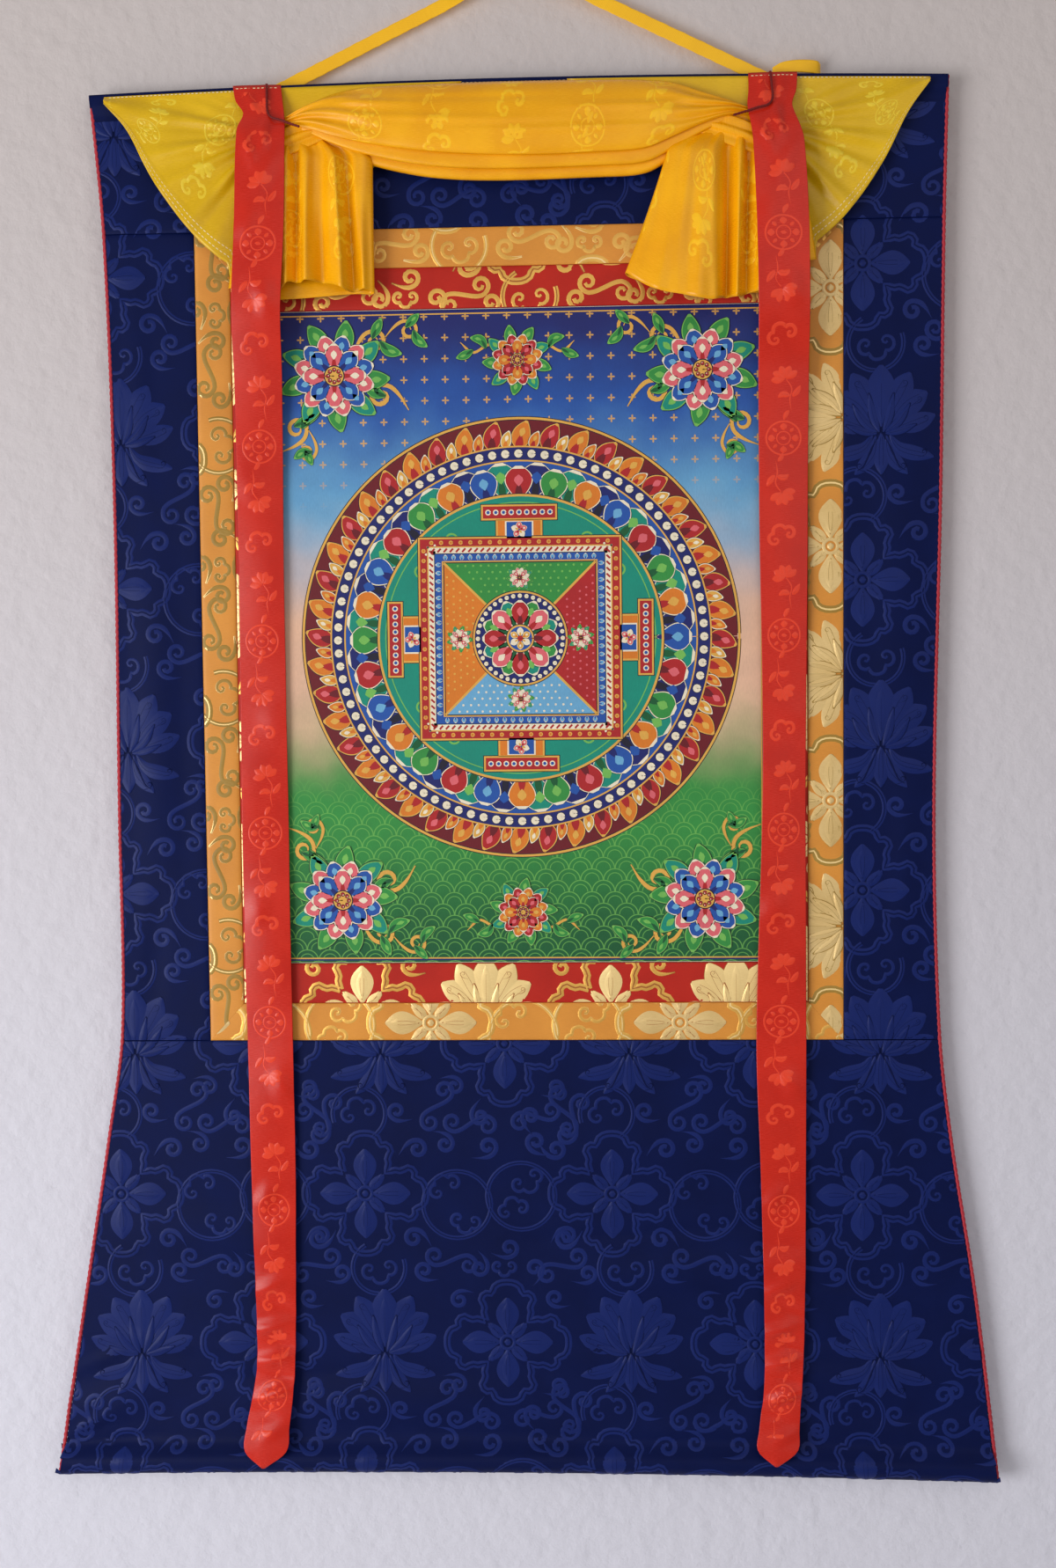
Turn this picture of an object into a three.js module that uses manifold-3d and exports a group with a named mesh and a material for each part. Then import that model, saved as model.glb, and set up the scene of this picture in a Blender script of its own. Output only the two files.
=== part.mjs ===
// Thangka scroll painting: a canvas in red and gold brocade borders, set in a blue damask scroll,
// with a tied-up yellow silk veil, two red ribbons and a flat hanging strap.
// Millimetres, +Z up, front towards -Y. The origin is the top of the strap, where the scroll hangs.

import * as THREE from 'three';
import { mergeVertices } from 'three/addons/utils/BufferGeometryUtils.js';
import Module from 'manifold-3d';

const wasm = await Module();
wasm.setup();

// Driving sizes of the flat scroll, measured from the centre of the painting.
const SEAM_GAP = 0.3;
const SHEET_HALF = 1.0;
const POINT_TOLERANCE = 1e-4;
const PAINTING = { width: 381, height: 508 };
const RED_STRIP = { side: 31.5, end: 31.7 };
const GOLD_STRIP = { side: 27.5, end: 29.8 };
const TOP_EDGE = 427;
const TOP_BOW = 6;
const BOTTOM_EDGE = -664;
const BOTTOM_BOW = 4;
const EDGE_REACH = 350;

// Long edges of the scroll, outside the piping: a row for each height, from the bottom up.
const LONG_EDGES = [
  { z: -672, left: -382, right: 372.5 },
  { z: -520, left: -356, right: 354 },
  { z: -391, left: -334, right: 334 },
  { z: -307, left: -321.5, right: 325 },
  { z: -138, left: -320, right: 320.5 },
  { z: 110, left: -318, right: 325 },
  { z: 313, left: -321.5, right: 327 },
  { z: 428, left: -330, right: 329.5 },
];

// Hems and piping.
const TOP_HEM = { half: 3.5, depth: 12 };
const BOTTOM_ROLL_RADIUS = 10.5;
const ROLL_CLEARANCE = 3;
const PIPING_DIAMETER = 3.4;
const PIPING_GAP = 0.45;
const PIPING_DROP = 2;

// How finely each piece is divided, across and along it.
const STEPS = {
  painting: { across: 10, along: 14 },
  strip: { across: 2, level: 16, upright: 20 },
  panelTop: { across: 22 },
  panelSide: { across: 4, along: 22 },
  panelBottom: { across: 24, along: 14 },
  piping: { along: 30 },
  wing: { across: 17, along: 7 },
  swag: { around: 24, along: 26 },
  knot: { around: 14, along: 9 },
  tail: { perFold: 2, along: 6 },
  ribbon: { across: 4, along: 44 },
  tie: { along: 14 },
  strap: { along: 64 },
  strapTail: { along: 20 },
};
const TOP_PANEL_LEVELS = [0, 0.2, 0.4, 0.6, 0.78, 0.885, 0.95, 1];
const ROLL_ANGLES = [0, 24, 48, 72, 96, 120, 144, 168];

// Soft creases in the blue cloth: centre, half length, half width, turn in degrees and height to the front.
const CREASES = [
  { x: 150, z: -498, length: 170, width: 20, turn: 3, height: 2.6 },
  { x: 235, z: -588, length: 140, width: 18, turn: -2, height: 3.0 },
  { x: -110, z: -606, length: 170, width: 20, turn: 2, height: 2.4 },
  { x: -250, z: -470, length: 120, width: 26, turn: -4, height: 1.8 },
  { x: 20, z: -400, length: 260, width: 34, turn: 0, height: 1.6 },
  { x: -340, z: -610, length: 60, width: 22, turn: 12, height: 3.0 },
  { x: 292, z: 40, length: 230, width: 26, turn: 90, height: 2.4 },
  { x: -288, z: -60, length: 200, width: 24, turn: 90, height: 2.2 },
];

// Veil: a silk sheet sewn just under the top edge, drawn up by a tie behind each ribbon.
const SILK_HALF = 0.7;
const VEIL_DROP = 3.5;
const VEIL_SEAM_DEPTH = 4.6;
const WING_BELLY = { height: 4.5, reach: 0.6 };
const WING_INNER = { depth: 6.0, from: 0.66, to: 0.8 };
const TIE_POINT = { left: { x: -186, z: 388 }, right: { x: 190, z: 386 } };

// Wings of the veil: the sewn top edge and the free side hem, from the outer tip to behind the ribbon.
const WING_LEFT = [
  { s: 0.0, topX: -316, hemX: -315, hemZ: 412 },
  { s: 0.2, topX: -279, hemX: -297.3, hemZ: 390.9 },
  { s: 0.4, topX: -242, hemX: -277.9, hemZ: 352.9 },
  { s: 0.6, topX: -206, hemX: -249.3, hemZ: 313.7 },
  { s: 0.75, topX: -180, hemX: -224, hemZ: 291.5 },
  { s: 0.87, topX: -150, hemX: -203, hemZ: 285 },
  { s: 1.0, topX: -40, hemX: -60, hemZ: 400 },
];
const WING_RIGHT = [
  { s: 0.0, topX: 314, hemX: 313, hemZ: 414 },
  { s: 0.2, topX: 278, hemX: 296.6, hemZ: 391.2 },
  { s: 0.4, topX: 244, hemX: 278, hemZ: 355 },
  { s: 0.6, topX: 212, hemX: 253.2, hemZ: 320 },
  { s: 0.75, topX: 186, hemX: 230, hemZ: 299 },
  { s: 0.87, topX: 156, hemX: 210, hemZ: 290 },
  { s: 1.0, topX: 40, hemX: 60, hemZ: 400 },
];
// Folds that fan out from each tie over the wings: direction below the level, spread and height.
const WING_FOLDS = [
  { angle: -9, spread: 6, height: 3.2 },
  { angle: 9, spread: 6, height: 4.6 },
  { angle: 26, spread: 7, height: 4.2 },
  { angle: 45, spread: 8, height: 5.2 },
  { angle: 64, spread: 7, height: 3.6 },
];
const WING_FOLD_REACH = { start: 4, full: 45, end: 150, belowSeam: 0.15 };

// Swag between the ties: height range and front of each section along it.
const SWAG_ENDS = { left: -177, right: 179 };
const SWAG_BACK = 4.6;
const SWAG_SEAT = 7.6;
const SWAG = [
  { x: -177, top: 398, bottom: 389, front: 15 },
  { x: -160, top: 408, bottom: 383, front: 22 },
  { x: -138, top: 417, bottom: 371, front: 25 },
  { x: -110, top: 421, bottom: 361, front: 27 },
  { x: -60, top: 422.5, bottom: 351, front: 29 },
  { x: 5, top: 423, bottom: 346, front: 30 },
  { x: 70, top: 422.5, bottom: 347.5, front: 29.5 },
  { x: 100, top: 421.5, bottom: 351, front: 28 },
  { x: 120, top: 419, bottom: 362, front: 26 },
  { x: 142, top: 411, bottom: 376, front: 24 },
  { x: 162, top: 404, bottom: 386, front: 21 },
  { x: 179, top: 398, bottom: 389, front: 15 },
];
const SWAG_BELLY = { even: 0.92, low: 0.36, round: 0.7, taper: 0.2 };
// Folded edges stacked along the swag's foot: height above the foot, and set-back of what hangs under each.
const SWAG_FOLDS = [
  { above: 17, step: 2.6 },
  { above: 7, step: 2.2 },
];

// Gathered knots behind the ribbons.
const KNOTS = [
  { x: -168, z: 380, halfWidth: 37, halfHeight: 16, depth: 10.8, halfDepth: 7 },
  { x: 168, z: 377, halfWidth: 40, halfHeight: 17, depth: 10.8, halfDepth: 7 },
];
const KNOT_PLEATS = { count: 7, height: 0.13 };

// Pleated tails: a row for each fold of the cloth, with its place at the knot and at the lower hem.
const TAIL_TOP = 373;
const TAIL_BELLY = { height: 2.5, from: 12, full: 17 };
const TAIL_OPENING = 1.2;
const TAIL_LEFT = [
  { topX: -206, topDepth: 13, lowX: -221, lowDepth: 13, lowZ: 270 },
  { topX: -196, topDepth: 16, lowX: -204, lowDepth: 17, lowZ: 268 },
  { topX: -184, topDepth: 13, lowX: -186, lowDepth: 13, lowZ: 266 },
  { topX: -175, topDepth: 18, lowX: -174, lowDepth: 21, lowZ: 271 },
  { topX: -167, topDepth: 14, lowX: -167, lowDepth: 15, lowZ: 272 },
  { topX: -158, topDepth: 19, lowX: -159, lowDepth: 26, lowZ: 273 },
  { topX: -148, topDepth: 16, lowX: -146, lowDepth: 18, lowZ: 270 },
  { topX: -138, topDepth: 21, lowX: -131, lowDepth: 27, lowZ: 266 },
  { topX: -129, topDepth: 15, lowX: -124, lowDepth: 16, lowZ: 265 },
  { topX: -118, topDepth: 18, lowX: -115, lowDepth: 19, lowZ: 265 },
  { topX: -108, topDepth: 14, lowX: -108, lowDepth: 14, lowZ: 265 },
  { topX: -116, topDepth: 9.8, lowX: -118, lowDepth: 9.8, lowZ: 264 },
  { topX: -150, topDepth: 9.5, lowX: -150, lowDepth: 9.5, lowZ: 262 },
  { topX: -194, topDepth: 9.5, lowX: -206, lowDepth: 9.5, lowZ: 262 },
];
const TAIL_RIGHT = [
  { topX: 214, topDepth: 13, lowX: 228, lowDepth: 13, lowZ: 283 },
  { topX: 204, topDepth: 16, lowX: 209, lowDepth: 17, lowZ: 276 },
  { topX: 194, topDepth: 13, lowX: 193, lowDepth: 13, lowZ: 264 },
  { topX: 186, topDepth: 18, lowX: 183, lowDepth: 20, lowZ: 258 },
  { topX: 178, topDepth: 14, lowX: 174, lowDepth: 14, lowZ: 257 },
  { topX: 170, topDepth: 19, lowX: 167, lowDepth: 23, lowZ: 255 },
  { topX: 162, topDepth: 14, lowX: 159, lowDepth: 15, lowZ: 254 },
  { topX: 153, topDepth: 20, lowX: 150, lowDepth: 27, lowZ: 252 },
  { topX: 142, topDepth: 21, lowX: 129, lowDepth: 28, lowZ: 255 },
  { topX: 131, topDepth: 20, lowX: 105, lowDepth: 26, lowZ: 259 },
  { topX: 121, topDepth: 16, lowX: 84, lowDepth: 19, lowZ: 275 },
  { topX: 127, topDepth: 10.2, lowX: 92, lowDepth: 12, lowZ: 270 },
  { topX: 152, topDepth: 9.5, lowX: 132, lowDepth: 10, lowZ: 258 },
  { topX: 195, topDepth: 9.5, lowX: 205, lowDepth: 9.8, lowZ: 262 },
];

// Ribbons: distance in front of the cloth by height, and the centre and width of each side's strip.
const RIBBON_HALF = 0.6;
const RIBBON_TOP = 424;
const RIBBON_CUP = 0.6;
const RIBBON_DEPTHS = [
  { z: -660, depth: 14.5 },
  { z: -642, depth: 13.5 },
  { z: -622, depth: 8.5 },
  { z: -590, depth: 8.0 },
  { z: -540, depth: 6.5 },
  { z: -300, depth: 6.0 },
  { z: 100, depth: 6.5 },
  { z: 200, depth: 12 },
  { z: 250, depth: 25 },
  { z: 300, depth: 28.5 },
  { z: 350, depth: 27.5 },
  { z: 384, depth: 23.5 },
  { z: 400, depth: 16 },
  { z: 424, depth: 7.5 },
];
const RIBBON_LEFT = [
  { z: -657, centre: -211.5, width: 3 },
  { z: -644, centre: -209.5, width: 33 },
  { z: -626, centre: -208, width: 34.5 },
  { z: -599, centre: -203.5, width: 32.5 },
  { z: -570, centre: -200.5, width: 30.5 },
  { z: -427, centre: -200.3, width: 35 },
  { z: -187, centre: -201.5, width: 36.5 },
  { z: 90, centre: -200.6, width: 35.5 },
  { z: 237, centre: -198.5, width: 37.5 },
  { z: 318, centre: -193.5, width: 38 },
  { z: 388, centre: -191.8, width: 36.5 },
  { z: 401, centre: -190.8, width: 31 },
  { z: 411, centre: -194.6, width: 36 },
  { z: 424, centre: -197, width: 37 },
];
const RIBBON_RIGHT = [
  { z: -652, centre: 195.5, width: 3 },
  { z: -640, centre: 196.5, width: 31 },
  { z: -625, centre: 198, width: 31.5 },
  { z: -596, centre: 200.6, width: 29.5 },
  { z: -553, centre: 202.4, width: 31 },
  { z: -427, centre: 202, width: 35 },
  { z: -314, centre: 200.6, width: 38.5 },
  { z: -100, centre: 203.4, width: 33 },
  { z: 90, centre: 203.1, width: 37 },
  { z: 260, centre: 202.4, width: 38.5 },
  { z: 369, centre: 198.4, width: 38 },
  { z: 397, centre: 192.6, width: 33.5 },
  { z: 410, centre: 195, width: 36 },
  { z: 424, centre: 195.6, width: 36.8 },
];

// Thin strings that gather the veil: across the ribbon's top, down it and round the gathered silk.
const TIE_RADIUS = 1.0;
const TIE_LEFT = [
  { x: -189, z: 424, depth: 9.6 },
  { x: -188.3, z: 413, depth: 13.8 },
  { x: -187.4, z: 402, depth: 17.5 },
  { x: -184, z: 396, depth: 20.4 },
  { x: -176, z: 393, depth: 21.8 },
  { x: -169, z: 390, depth: 23.0 },
  { x: -162, z: 387, depth: 25.6 },
];
const TIE_RIGHT = [
  { x: 193.6, z: 424, depth: 9.6 },
  { x: 194.3, z: 413, depth: 13.8 },
  { x: 194.6, z: 402, depth: 17.5 },
  { x: 191, z: 396.4, depth: 20.4 },
  { x: 183, z: 394, depth: 21.8 },
  { x: 174, z: 391, depth: 22.6 },
  { x: 165, z: 388, depth: 24.8 },
];

// Hanging strap: flat silk band, both ends fastened behind the top hem, and its free knot end.
const STRAP = { width: 10, half: 0.7, setBack: 4.7, flatReach: 0.02, twistReach: 0.16 };
const STRAP_TOP = { x: 6.5, z: 511.4 };
const STRAP_ROUTE = [
  { x: -197, z: 416.4 },
  { x: -184, z: 422.6 },
  { x: -166, z: 431.2 },
  { x: -145, z: 441.1 },
  { x: -120, z: 453.0 },
  { x: -95, z: 464.9 },
  { x: -70, z: 476.7 },
  { x: -45, z: 488.6 },
  { x: -25, z: 498.1 },
  { x: -12, z: 504.2 },
  { x: -4, z: 507.9 },
  { x: 1.5, z: 510.2 },
  { x: 6.5, z: 511.4 },
  { x: 11.5, z: 510.4 },
  { x: 17, z: 508.2 },
  { x: 25, z: 504.4 },
  { x: 40, z: 497.2 },
  { x: 60, z: 487.4 },
  { x: 85, z: 475.2 },
  { x: 110, z: 462.9 },
  { x: 135, z: 450.7 },
  { x: 158, z: 439.4 },
  { x: 178, z: 429.6 },
  { x: 190, z: 423.7 },
  { x: 204, z: 416.8 },
];
const STRAP_TAIL = [
  { x: 196, z: 427.4, depth: 0.6, width: 4 },
  { x: 203, z: 429.2, depth: 0.8, width: 7.5 },
  { x: 212, z: 430.2, depth: 0.6, width: 9 },
  { x: 222, z: 430.4, depth: -0.6, width: 9.5 },
  { x: 230, z: 429.9, depth: -3.4, width: 9.5 },
  { x: 233, z: 428.6, depth: -7.0, width: 9.5 },
];

// Finishes.
const FINISH = {
  damask: new THREE.MeshStandardMaterial({ color: 0x141d52, roughness: 0.55, metalness: 0 }),
  gold: new THREE.MeshStandardMaterial({ color: 0xd08a2c, roughness: 0.45, metalness: 0.1 }),
  red: new THREE.MeshStandardMaterial({ color: 0xa8261a, roughness: 0.5, metalness: 0 }),
  canvas: new THREE.MeshStandardMaterial({ color: 0x2f7d6c, roughness: 0.7, metalness: 0 }),
  silk: new THREE.MeshStandardMaterial({ color: 0xf0b414, roughness: 0.35, metalness: 0 }),
  satin: new THREE.MeshStandardMaterial({ color: 0xc42818, roughness: 0.35, metalness: 0 }),
  piping: new THREE.MeshStandardMaterial({ color: 0x8e1c22, roughness: 0.6, metalness: 0 }),
  string: new THREE.MeshStandardMaterial({ color: 0x7a1010, roughness: 0.6, metalness: 0 }),
};

const { lerp, clamp, degToRad, smoothstep } = THREE.MathUtils;

// A table's column at a place along its key, on a smooth curve through the rows.
function along(rows, key, column, place) {
  const last = rows.length - 1;
  const at = clamp(place, rows[0][key], rows[last][key]);
  let row = 0;
  while (row < last - 1 && at > rows[row + 1][key]) {
    row += 1;
  }
  const slope = (i) => {
    const before = rows[Math.max(i - 1, 0)];
    const after = rows[Math.min(i + 1, last)];
    return (after[column] - before[column]) / (after[key] - before[key]);
  };
  const span = rows[row + 1][key] - rows[row][key];
  const t = (at - rows[row][key]) / span;
  const start = rows[row][column];
  const end = rows[row + 1][column];
  const curve = 2 * start - 2 * end + span * (slope(row) + slope(row + 1));
  const bend = 3 * end - 3 * start - span * (2 * slope(row) + slope(row + 1));
  return start + t * (span * slope(row) + t * (bend + t * curve));
}

// A soft hump, one at its middle and nothing beyond its reach.
function hump(distance, reach) {
  const t = clamp(1 - (distance / reach) ** 2, 0, 1);
  return t * t;
}

// Long edges of the blue cloth, inside the piping.
const EDGE_INSET = PIPING_DIAMETER + PIPING_GAP;
const leftEdge = (z) => along(LONG_EDGES, 'z', 'left', z) + EDGE_INSET;
const rightEdge = (z) => along(LONG_EDGES, 'z', 'right', z) - EDGE_INSET;
const topEdge = (x) => TOP_EDGE - TOP_BOW * (x / EDGE_REACH) ** 2;
const bottomEdge = (x) => BOTTOM_EDGE - BOTTOM_BOW * (x / EDGE_REACH) ** 2;

// How far the hanging cloth stands forward of its plane.
function clothDepth(x, z) {
  let depth = 0;
  for (const crease of CREASES) {
    const turn = degToRad(crease.turn);
    const dx = x - crease.x;
    const dz = z - crease.z;
    const lengthwise = dx * Math.cos(turn) + dz * Math.sin(turn);
    const across = dz * Math.cos(turn) - dx * Math.sin(turn);
    depth += crease.height * hump(lengthwise, crease.length) * hump(across, crease.width);
  }
  return depth;
}

// A closed geometry with shared points and its faces pointing out.
function closed(geometry) {
  geometry.deleteAttribute('normal');
  geometry.deleteAttribute('uv');
  const merged = mergeVertices(geometry, POINT_TOLERANCE);
  const points = merged.getAttribute('position');
  const index = merged.getIndex().array;
  const [a, b, c] = [new THREE.Vector3(), new THREE.Vector3(), new THREE.Vector3()];
  let volume = 0;
  for (let i = 0; i < index.length; i += 3) {
    a.fromBufferAttribute(points, index[i]);
    b.fromBufferAttribute(points, index[i + 1]);
    c.fromBufferAttribute(points, index[i + 2]);
    volume += a.dot(b.cross(c));
  }
  if (volume < 0) {
    for (let i = 0; i < index.length; i += 3) {
      [index[i + 1], index[i + 2]] = [index[i + 2], index[i + 1]];
    }
  }
  merged.computeVertexNormals();
  return merged;
}

// A thin box whose points are moved to place(u, v, side): side is -1 on the front and 1 on the back.
function bentBox(across, down, place) {
  const box = new THREE.BoxGeometry(1, 1, 1, across, 1, down);
  const points = box.getAttribute('position');
  for (let i = 0; i < points.count; i += 1) {
    const moved = place(points.getX(i) + 0.5, points.getZ(i) + 0.5, 2 * points.getY(i));
    points.setXYZ(i, moved.x, moved.y, moved.z);
  }
  return closed(box);
}

// A sheet of even thickness on a curved surface.
function silkSheet(across, down, surface, half) {
  const step = 1e-3;
  const at = (u, v) => surface(clamp(u, 0, 1), clamp(v, 0, 1));
  return bentBox(across, down, (u, v, side) => {
    const alongU = at(u + step, v).sub(at(u - step, v));
    const alongV = at(u, v + step).sub(at(u, v - step));
    const normal = alongV.cross(alongU).normalize();
    return at(u, v).addScaledVector(normal, side * half);
  });
}

// A flat piece of the scroll: outline(u, v) gives its x and z, and half(x, z) half its thickness.
function clothPiece(across, levels, outline, half = () => SHEET_HALF) {
  const down = levels.length - 1;
  return bentBox(across, down, (u, v, side) => {
    const { x, z } = outline(u, levels[Math.round(v * down)]);
    return new THREE.Vector3(x, side * half(x, z) - clothDepth(x, z), z);
  });
}

const evenLevels = (count) => Array.from({ length: count + 1 }, (_, i) => i / count);

// Half thickness of the top hem, and of the bottom hem that is rolled round.
function topHemHalf(x, z) {
  const below = topEdge(x) - z;
  return SHEET_HALF + (TOP_HEM.half - SHEET_HALF) * (1 - smoothstep(below, TOP_HEM.depth / 2, TOP_HEM.depth));
}

function bottomHemHalf(x, z) {
  const above = z - bottomEdge(x) - BOTTOM_ROLL_RADIUS;
  const round = BOTTOM_ROLL_RADIUS ** 2 - above ** 2;
  return Math.max(SHEET_HALF, round > 0 ? Math.sqrt(round) : 0);
}

// Outlines of the blue panels.
const GOLD_X = PAINTING.width / 2 + RED_STRIP.side + GOLD_STRIP.side;
const GOLD_Z = PAINTING.height / 2 + RED_STRIP.end + GOLD_STRIP.end;

function panelTop() {
  const foot = GOLD_Z + SEAM_GAP / 2;
  return clothPiece(STEPS.panelTop.across, TOP_PANEL_LEVELS, (u, level) => {
    const z = lerp(foot, topEdge(leftEdge(TOP_EDGE)), level);
    const x = lerp(leftEdge(z), rightEdge(z), u);
    return { x, z: lerp(foot, topEdge(x), level) };
  }, topHemHalf);
}

function panelSide(outerEdge, innerX) {
  const reach = GOLD_Z - SEAM_GAP / 2;
  return clothPiece(STEPS.panelSide.across, evenLevels(STEPS.panelSide.along), (u, level) => {
    const z = lerp(-reach, reach, level);
    const outer = outerEdge(z);
    return { x: lerp(Math.min(outer, innerX), Math.max(outer, innerX), u), z };
  });
}

function panelBottom() {
  const head = -GOLD_Z - SEAM_GAP / 2;
  const height = head - BOTTOM_EDGE;
  const rollLevels = ROLL_ANGLES.map((a) => (BOTTOM_ROLL_RADIUS * (1 - Math.cos(degToRad(a)))) / height);
  const sheetStart = (2 * BOTTOM_ROLL_RADIUS + ROLL_CLEARANCE) / height;
  const sheetLevels = evenLevels(STEPS.panelBottom.along).map((level) => lerp(sheetStart, 1, level));
  return clothPiece(STEPS.panelBottom.across, [...rollLevels, ...sheetLevels], (u, level) => {
    const z = lerp(bottomEdge(leftEdge(BOTTOM_EDGE)), head, level);
    const x = lerp(leftEdge(z), rightEdge(z), u);
    return { x, z: lerp(bottomEdge(x), head, level) };
  }, bottomHemHalf);
}

// One mitred strip of a border, between two rectangles given by their half sizes.
function borderStrip(inner, outer, end) {
  const near = SEAM_GAP / 2;
  const mitre = SEAM_GAP * Math.SQRT1_2;
  const [reachIn, reachOut] = end ? [inner.x, outer.x] : [inner.z, outer.z];
  const [from, to] = end ? [inner.z, outer.z] : [inner.x, outer.x];
  return (side) => (u, level) => {
    const [lengthwise, across] = end ? [u, level] : [level, u];
    const offset = lerp(from + near, to - near, side > 0 ? across : 1 - across);
    const reach = lerp(reachIn, reachOut, (offset - from) / (to - from)) - mitre;
    const run = lerp(-reach, reach, lengthwise);
    return end ? { x: run, z: side * offset } : { x: side * offset, z: run };
  };
}

const scroll = new THREE.Group();
scroll.position.set(-STRAP_TOP.x, -STRAP.setBack, -STRAP_TOP.z);

function add(name, geometry, material) {
  const mesh = new THREE.Mesh(geometry, material);
  mesh.name = name;
  scroll.add(mesh);
}

function addBorder(name, inner, outer, material) {
  const ends = borderStrip(inner, outer, true);
  const sides = borderStrip(inner, outer, false);
  const { across, level, upright } = STEPS.strip;
  add(`${name}_top`, clothPiece(level, evenLevels(across), ends(1)), material);
  add(`${name}_bottom`, clothPiece(level, evenLevels(across), ends(-1)), material);
  add(`${name}_left`, clothPiece(across, evenLevels(upright), sides(-1)), material);
  add(`${name}_right`, clothPiece(across, evenLevels(upright), sides(1)), material);
}

function painting() {
  const halfWidth = PAINTING.width / 2 - SEAM_GAP / 2;
  const halfHeight = PAINTING.height / 2 - SEAM_GAP / 2;
  return clothPiece(STEPS.painting.across, evenLevels(STEPS.painting.along), (u, level) => ({
    x: lerp(-halfWidth, halfWidth, u),
    z: lerp(-halfHeight, halfHeight, level),
  }));
}

// A round cord along a curve.
const CORD_SIDES = 8;

function roundCord(points, radius, steps) {
  const section = new THREE.Shape();
  section.absarc(0, 0, radius, 0, 2 * Math.PI);
  return closed(new THREE.ExtrudeGeometry(section, {
    curveSegments: CORD_SIDES / 2,
    steps,
    bevelEnabled: false,
    extrudePath: new THREE.CatmullRomCurve3(points),
  }));
}

function piping(edge, side) {
  const count = STEPS.piping.along;
  const points = evenLevels(count).map((level) => {
    const z = lerp(BOTTOM_EDGE - PIPING_DROP, TOP_EDGE - TOP_BOW, level);
    const x = edge(z) + side * (PIPING_GAP + PIPING_DIAMETER / 2);
    return new THREE.Vector3(x, -clothDepth(x, z), z);
  });
  return roundCord(points, PIPING_DIAMETER / 2, count);
}

// Wing of the veil, from the outer tip inwards.
function wing(rows, tie) {
  return silkSheet(STEPS.wing.across, STEPS.wing.along, (s, v) => {
    const t = 1 - v;
    const topX = along(rows, 's', 'topX', s);
    const x = lerp(topX, along(rows, 's', 'hemX', s), t);
    const z = lerp(topEdge(topX) - VEIL_DROP, along(rows, 's', 'hemZ', s), t);
    const radius = Math.hypot(x - tie.x, z - tie.z);
    const angle = THREE.MathUtils.radToDeg(Math.atan2(tie.z - z, Math.abs(x - tie.x)));
    let folds = 0;
    for (const fold of WING_FOLDS) {
      folds += fold.height * hump(angle - fold.angle, fold.spread);
    }
    const { start, full, end, belowSeam } = WING_FOLD_REACH;
    const gathered = smoothstep(radius, start, full) * hump(radius, end) * smoothstep(t, 0, belowSeam);
    const belly = WING_BELLY.height * smoothstep(t, 0, WING_BELLY.reach);
    const open = VEIL_SEAM_DEPTH + belly + folds * gathered;
    const depth = lerp(open, WING_INNER.depth, smoothstep(s, WING_INNER.from, WING_INNER.to));
    return new THREE.Vector3(x, -depth, z);
  }, SILK_HALF);
}

// A closed rounded body: place(t, angle) gives its points along t and round each section.
function roundBody(around, lengthwise, place) {
  const ball = new THREE.SphereGeometry(1, around, lengthwise);
  const points = ball.getAttribute('position');
  for (let i = 0; i < points.count; i += 1) {
    const t = Math.acos(clamp(points.getY(i), -1, 1)) / Math.PI;
    const moved = place(t, Math.atan2(points.getZ(i), -points.getX(i)));
    points.setXYZ(i, moved.x, moved.y, moved.z);
  }
  return closed(ball);
}

// Swag: hangs from the top seam, bellies forward and turns under along stacked folded edges.
function swag() {
  return roundBody(STEPS.swag.around, STEPS.swag.along, (t, angle) => {
    const x = lerp(SWAG_ENDS.left, SWAG_ENDS.right, t);
    const taper = (4 * t * (1 - t)) ** SWAG_BELLY.taper;
    const top = along(SWAG, 'x', 'top', x);
    const bottom = along(SWAG, 'x', 'bottom', x);
    const front = along(SWAG, 'x', 'front', x);
    const middle = (top + bottom) / 2;
    const z = middle + taper * ((top - bottom) / 2) * Math.cos(angle);
    const turn = Math.sin(angle);
    if (turn <= 0) {
      return new THREE.Vector3(x, -(SWAG_SEAT + taper * (SWAG_SEAT - SWAG_BACK) * turn), z);
    }
    const belly = turn ** SWAG_BELLY.round * (SWAG_BELLY.even - SWAG_BELLY.low * Math.cos(angle));
    const under = SWAG_FOLDS.filter((fold) => z < bottom + fold.above);
    const setBack = under.reduce((sum, fold) => sum + fold.step * turn, 0);
    return new THREE.Vector3(x, -(SWAG_SEAT + taper * ((front - SWAG_SEAT) * belly - setBack)), z);
  });
}

// Knot: a small flattened bundle with pleats round its axis.
function knot(row) {
  return roundBody(STEPS.knot.around, STEPS.knot.along, (t, angle) => {
    const ring = Math.sin(Math.PI * t) * (1 + KNOT_PLEATS.height * Math.cos(KNOT_PLEATS.count * angle));
    return new THREE.Vector3(
      row.x - row.halfWidth * Math.cos(Math.PI * t),
      -(row.depth + row.halfDepth * ring * Math.sin(angle)),
      row.z + row.halfHeight * ring * Math.cos(angle),
    );
  });
}

// Tail: one back-and-forth run of the silk's folds, opening from the knot to its lower hem.
function tail(rows) {
  const run = rows.map((row, i) => ({ ...row, i }));
  const folds = rows.length - 1;
  return silkSheet(STEPS.tail.perFold * folds, STEPS.tail.along, (u, v) => {
    const place = u * folds;
    const at = (column) => along(run, 'i', column, place);
    const opened = (1 - v) ** TAIL_OPENING;
    const x = lerp(at('topX'), at('lowX'), opened);
    const frontwards = smoothstep(at('topDepth'), TAIL_BELLY.from, TAIL_BELLY.full);
    const belly = TAIL_BELLY.height * frontwards * Math.sin(Math.PI * v);
    const depth = lerp(at('topDepth'), at('lowDepth'), opened) + belly;
    return new THREE.Vector3(x, -depth, lerp(at('lowZ'), TAIL_TOP, v));
  }, SILK_HALF);
}

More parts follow.
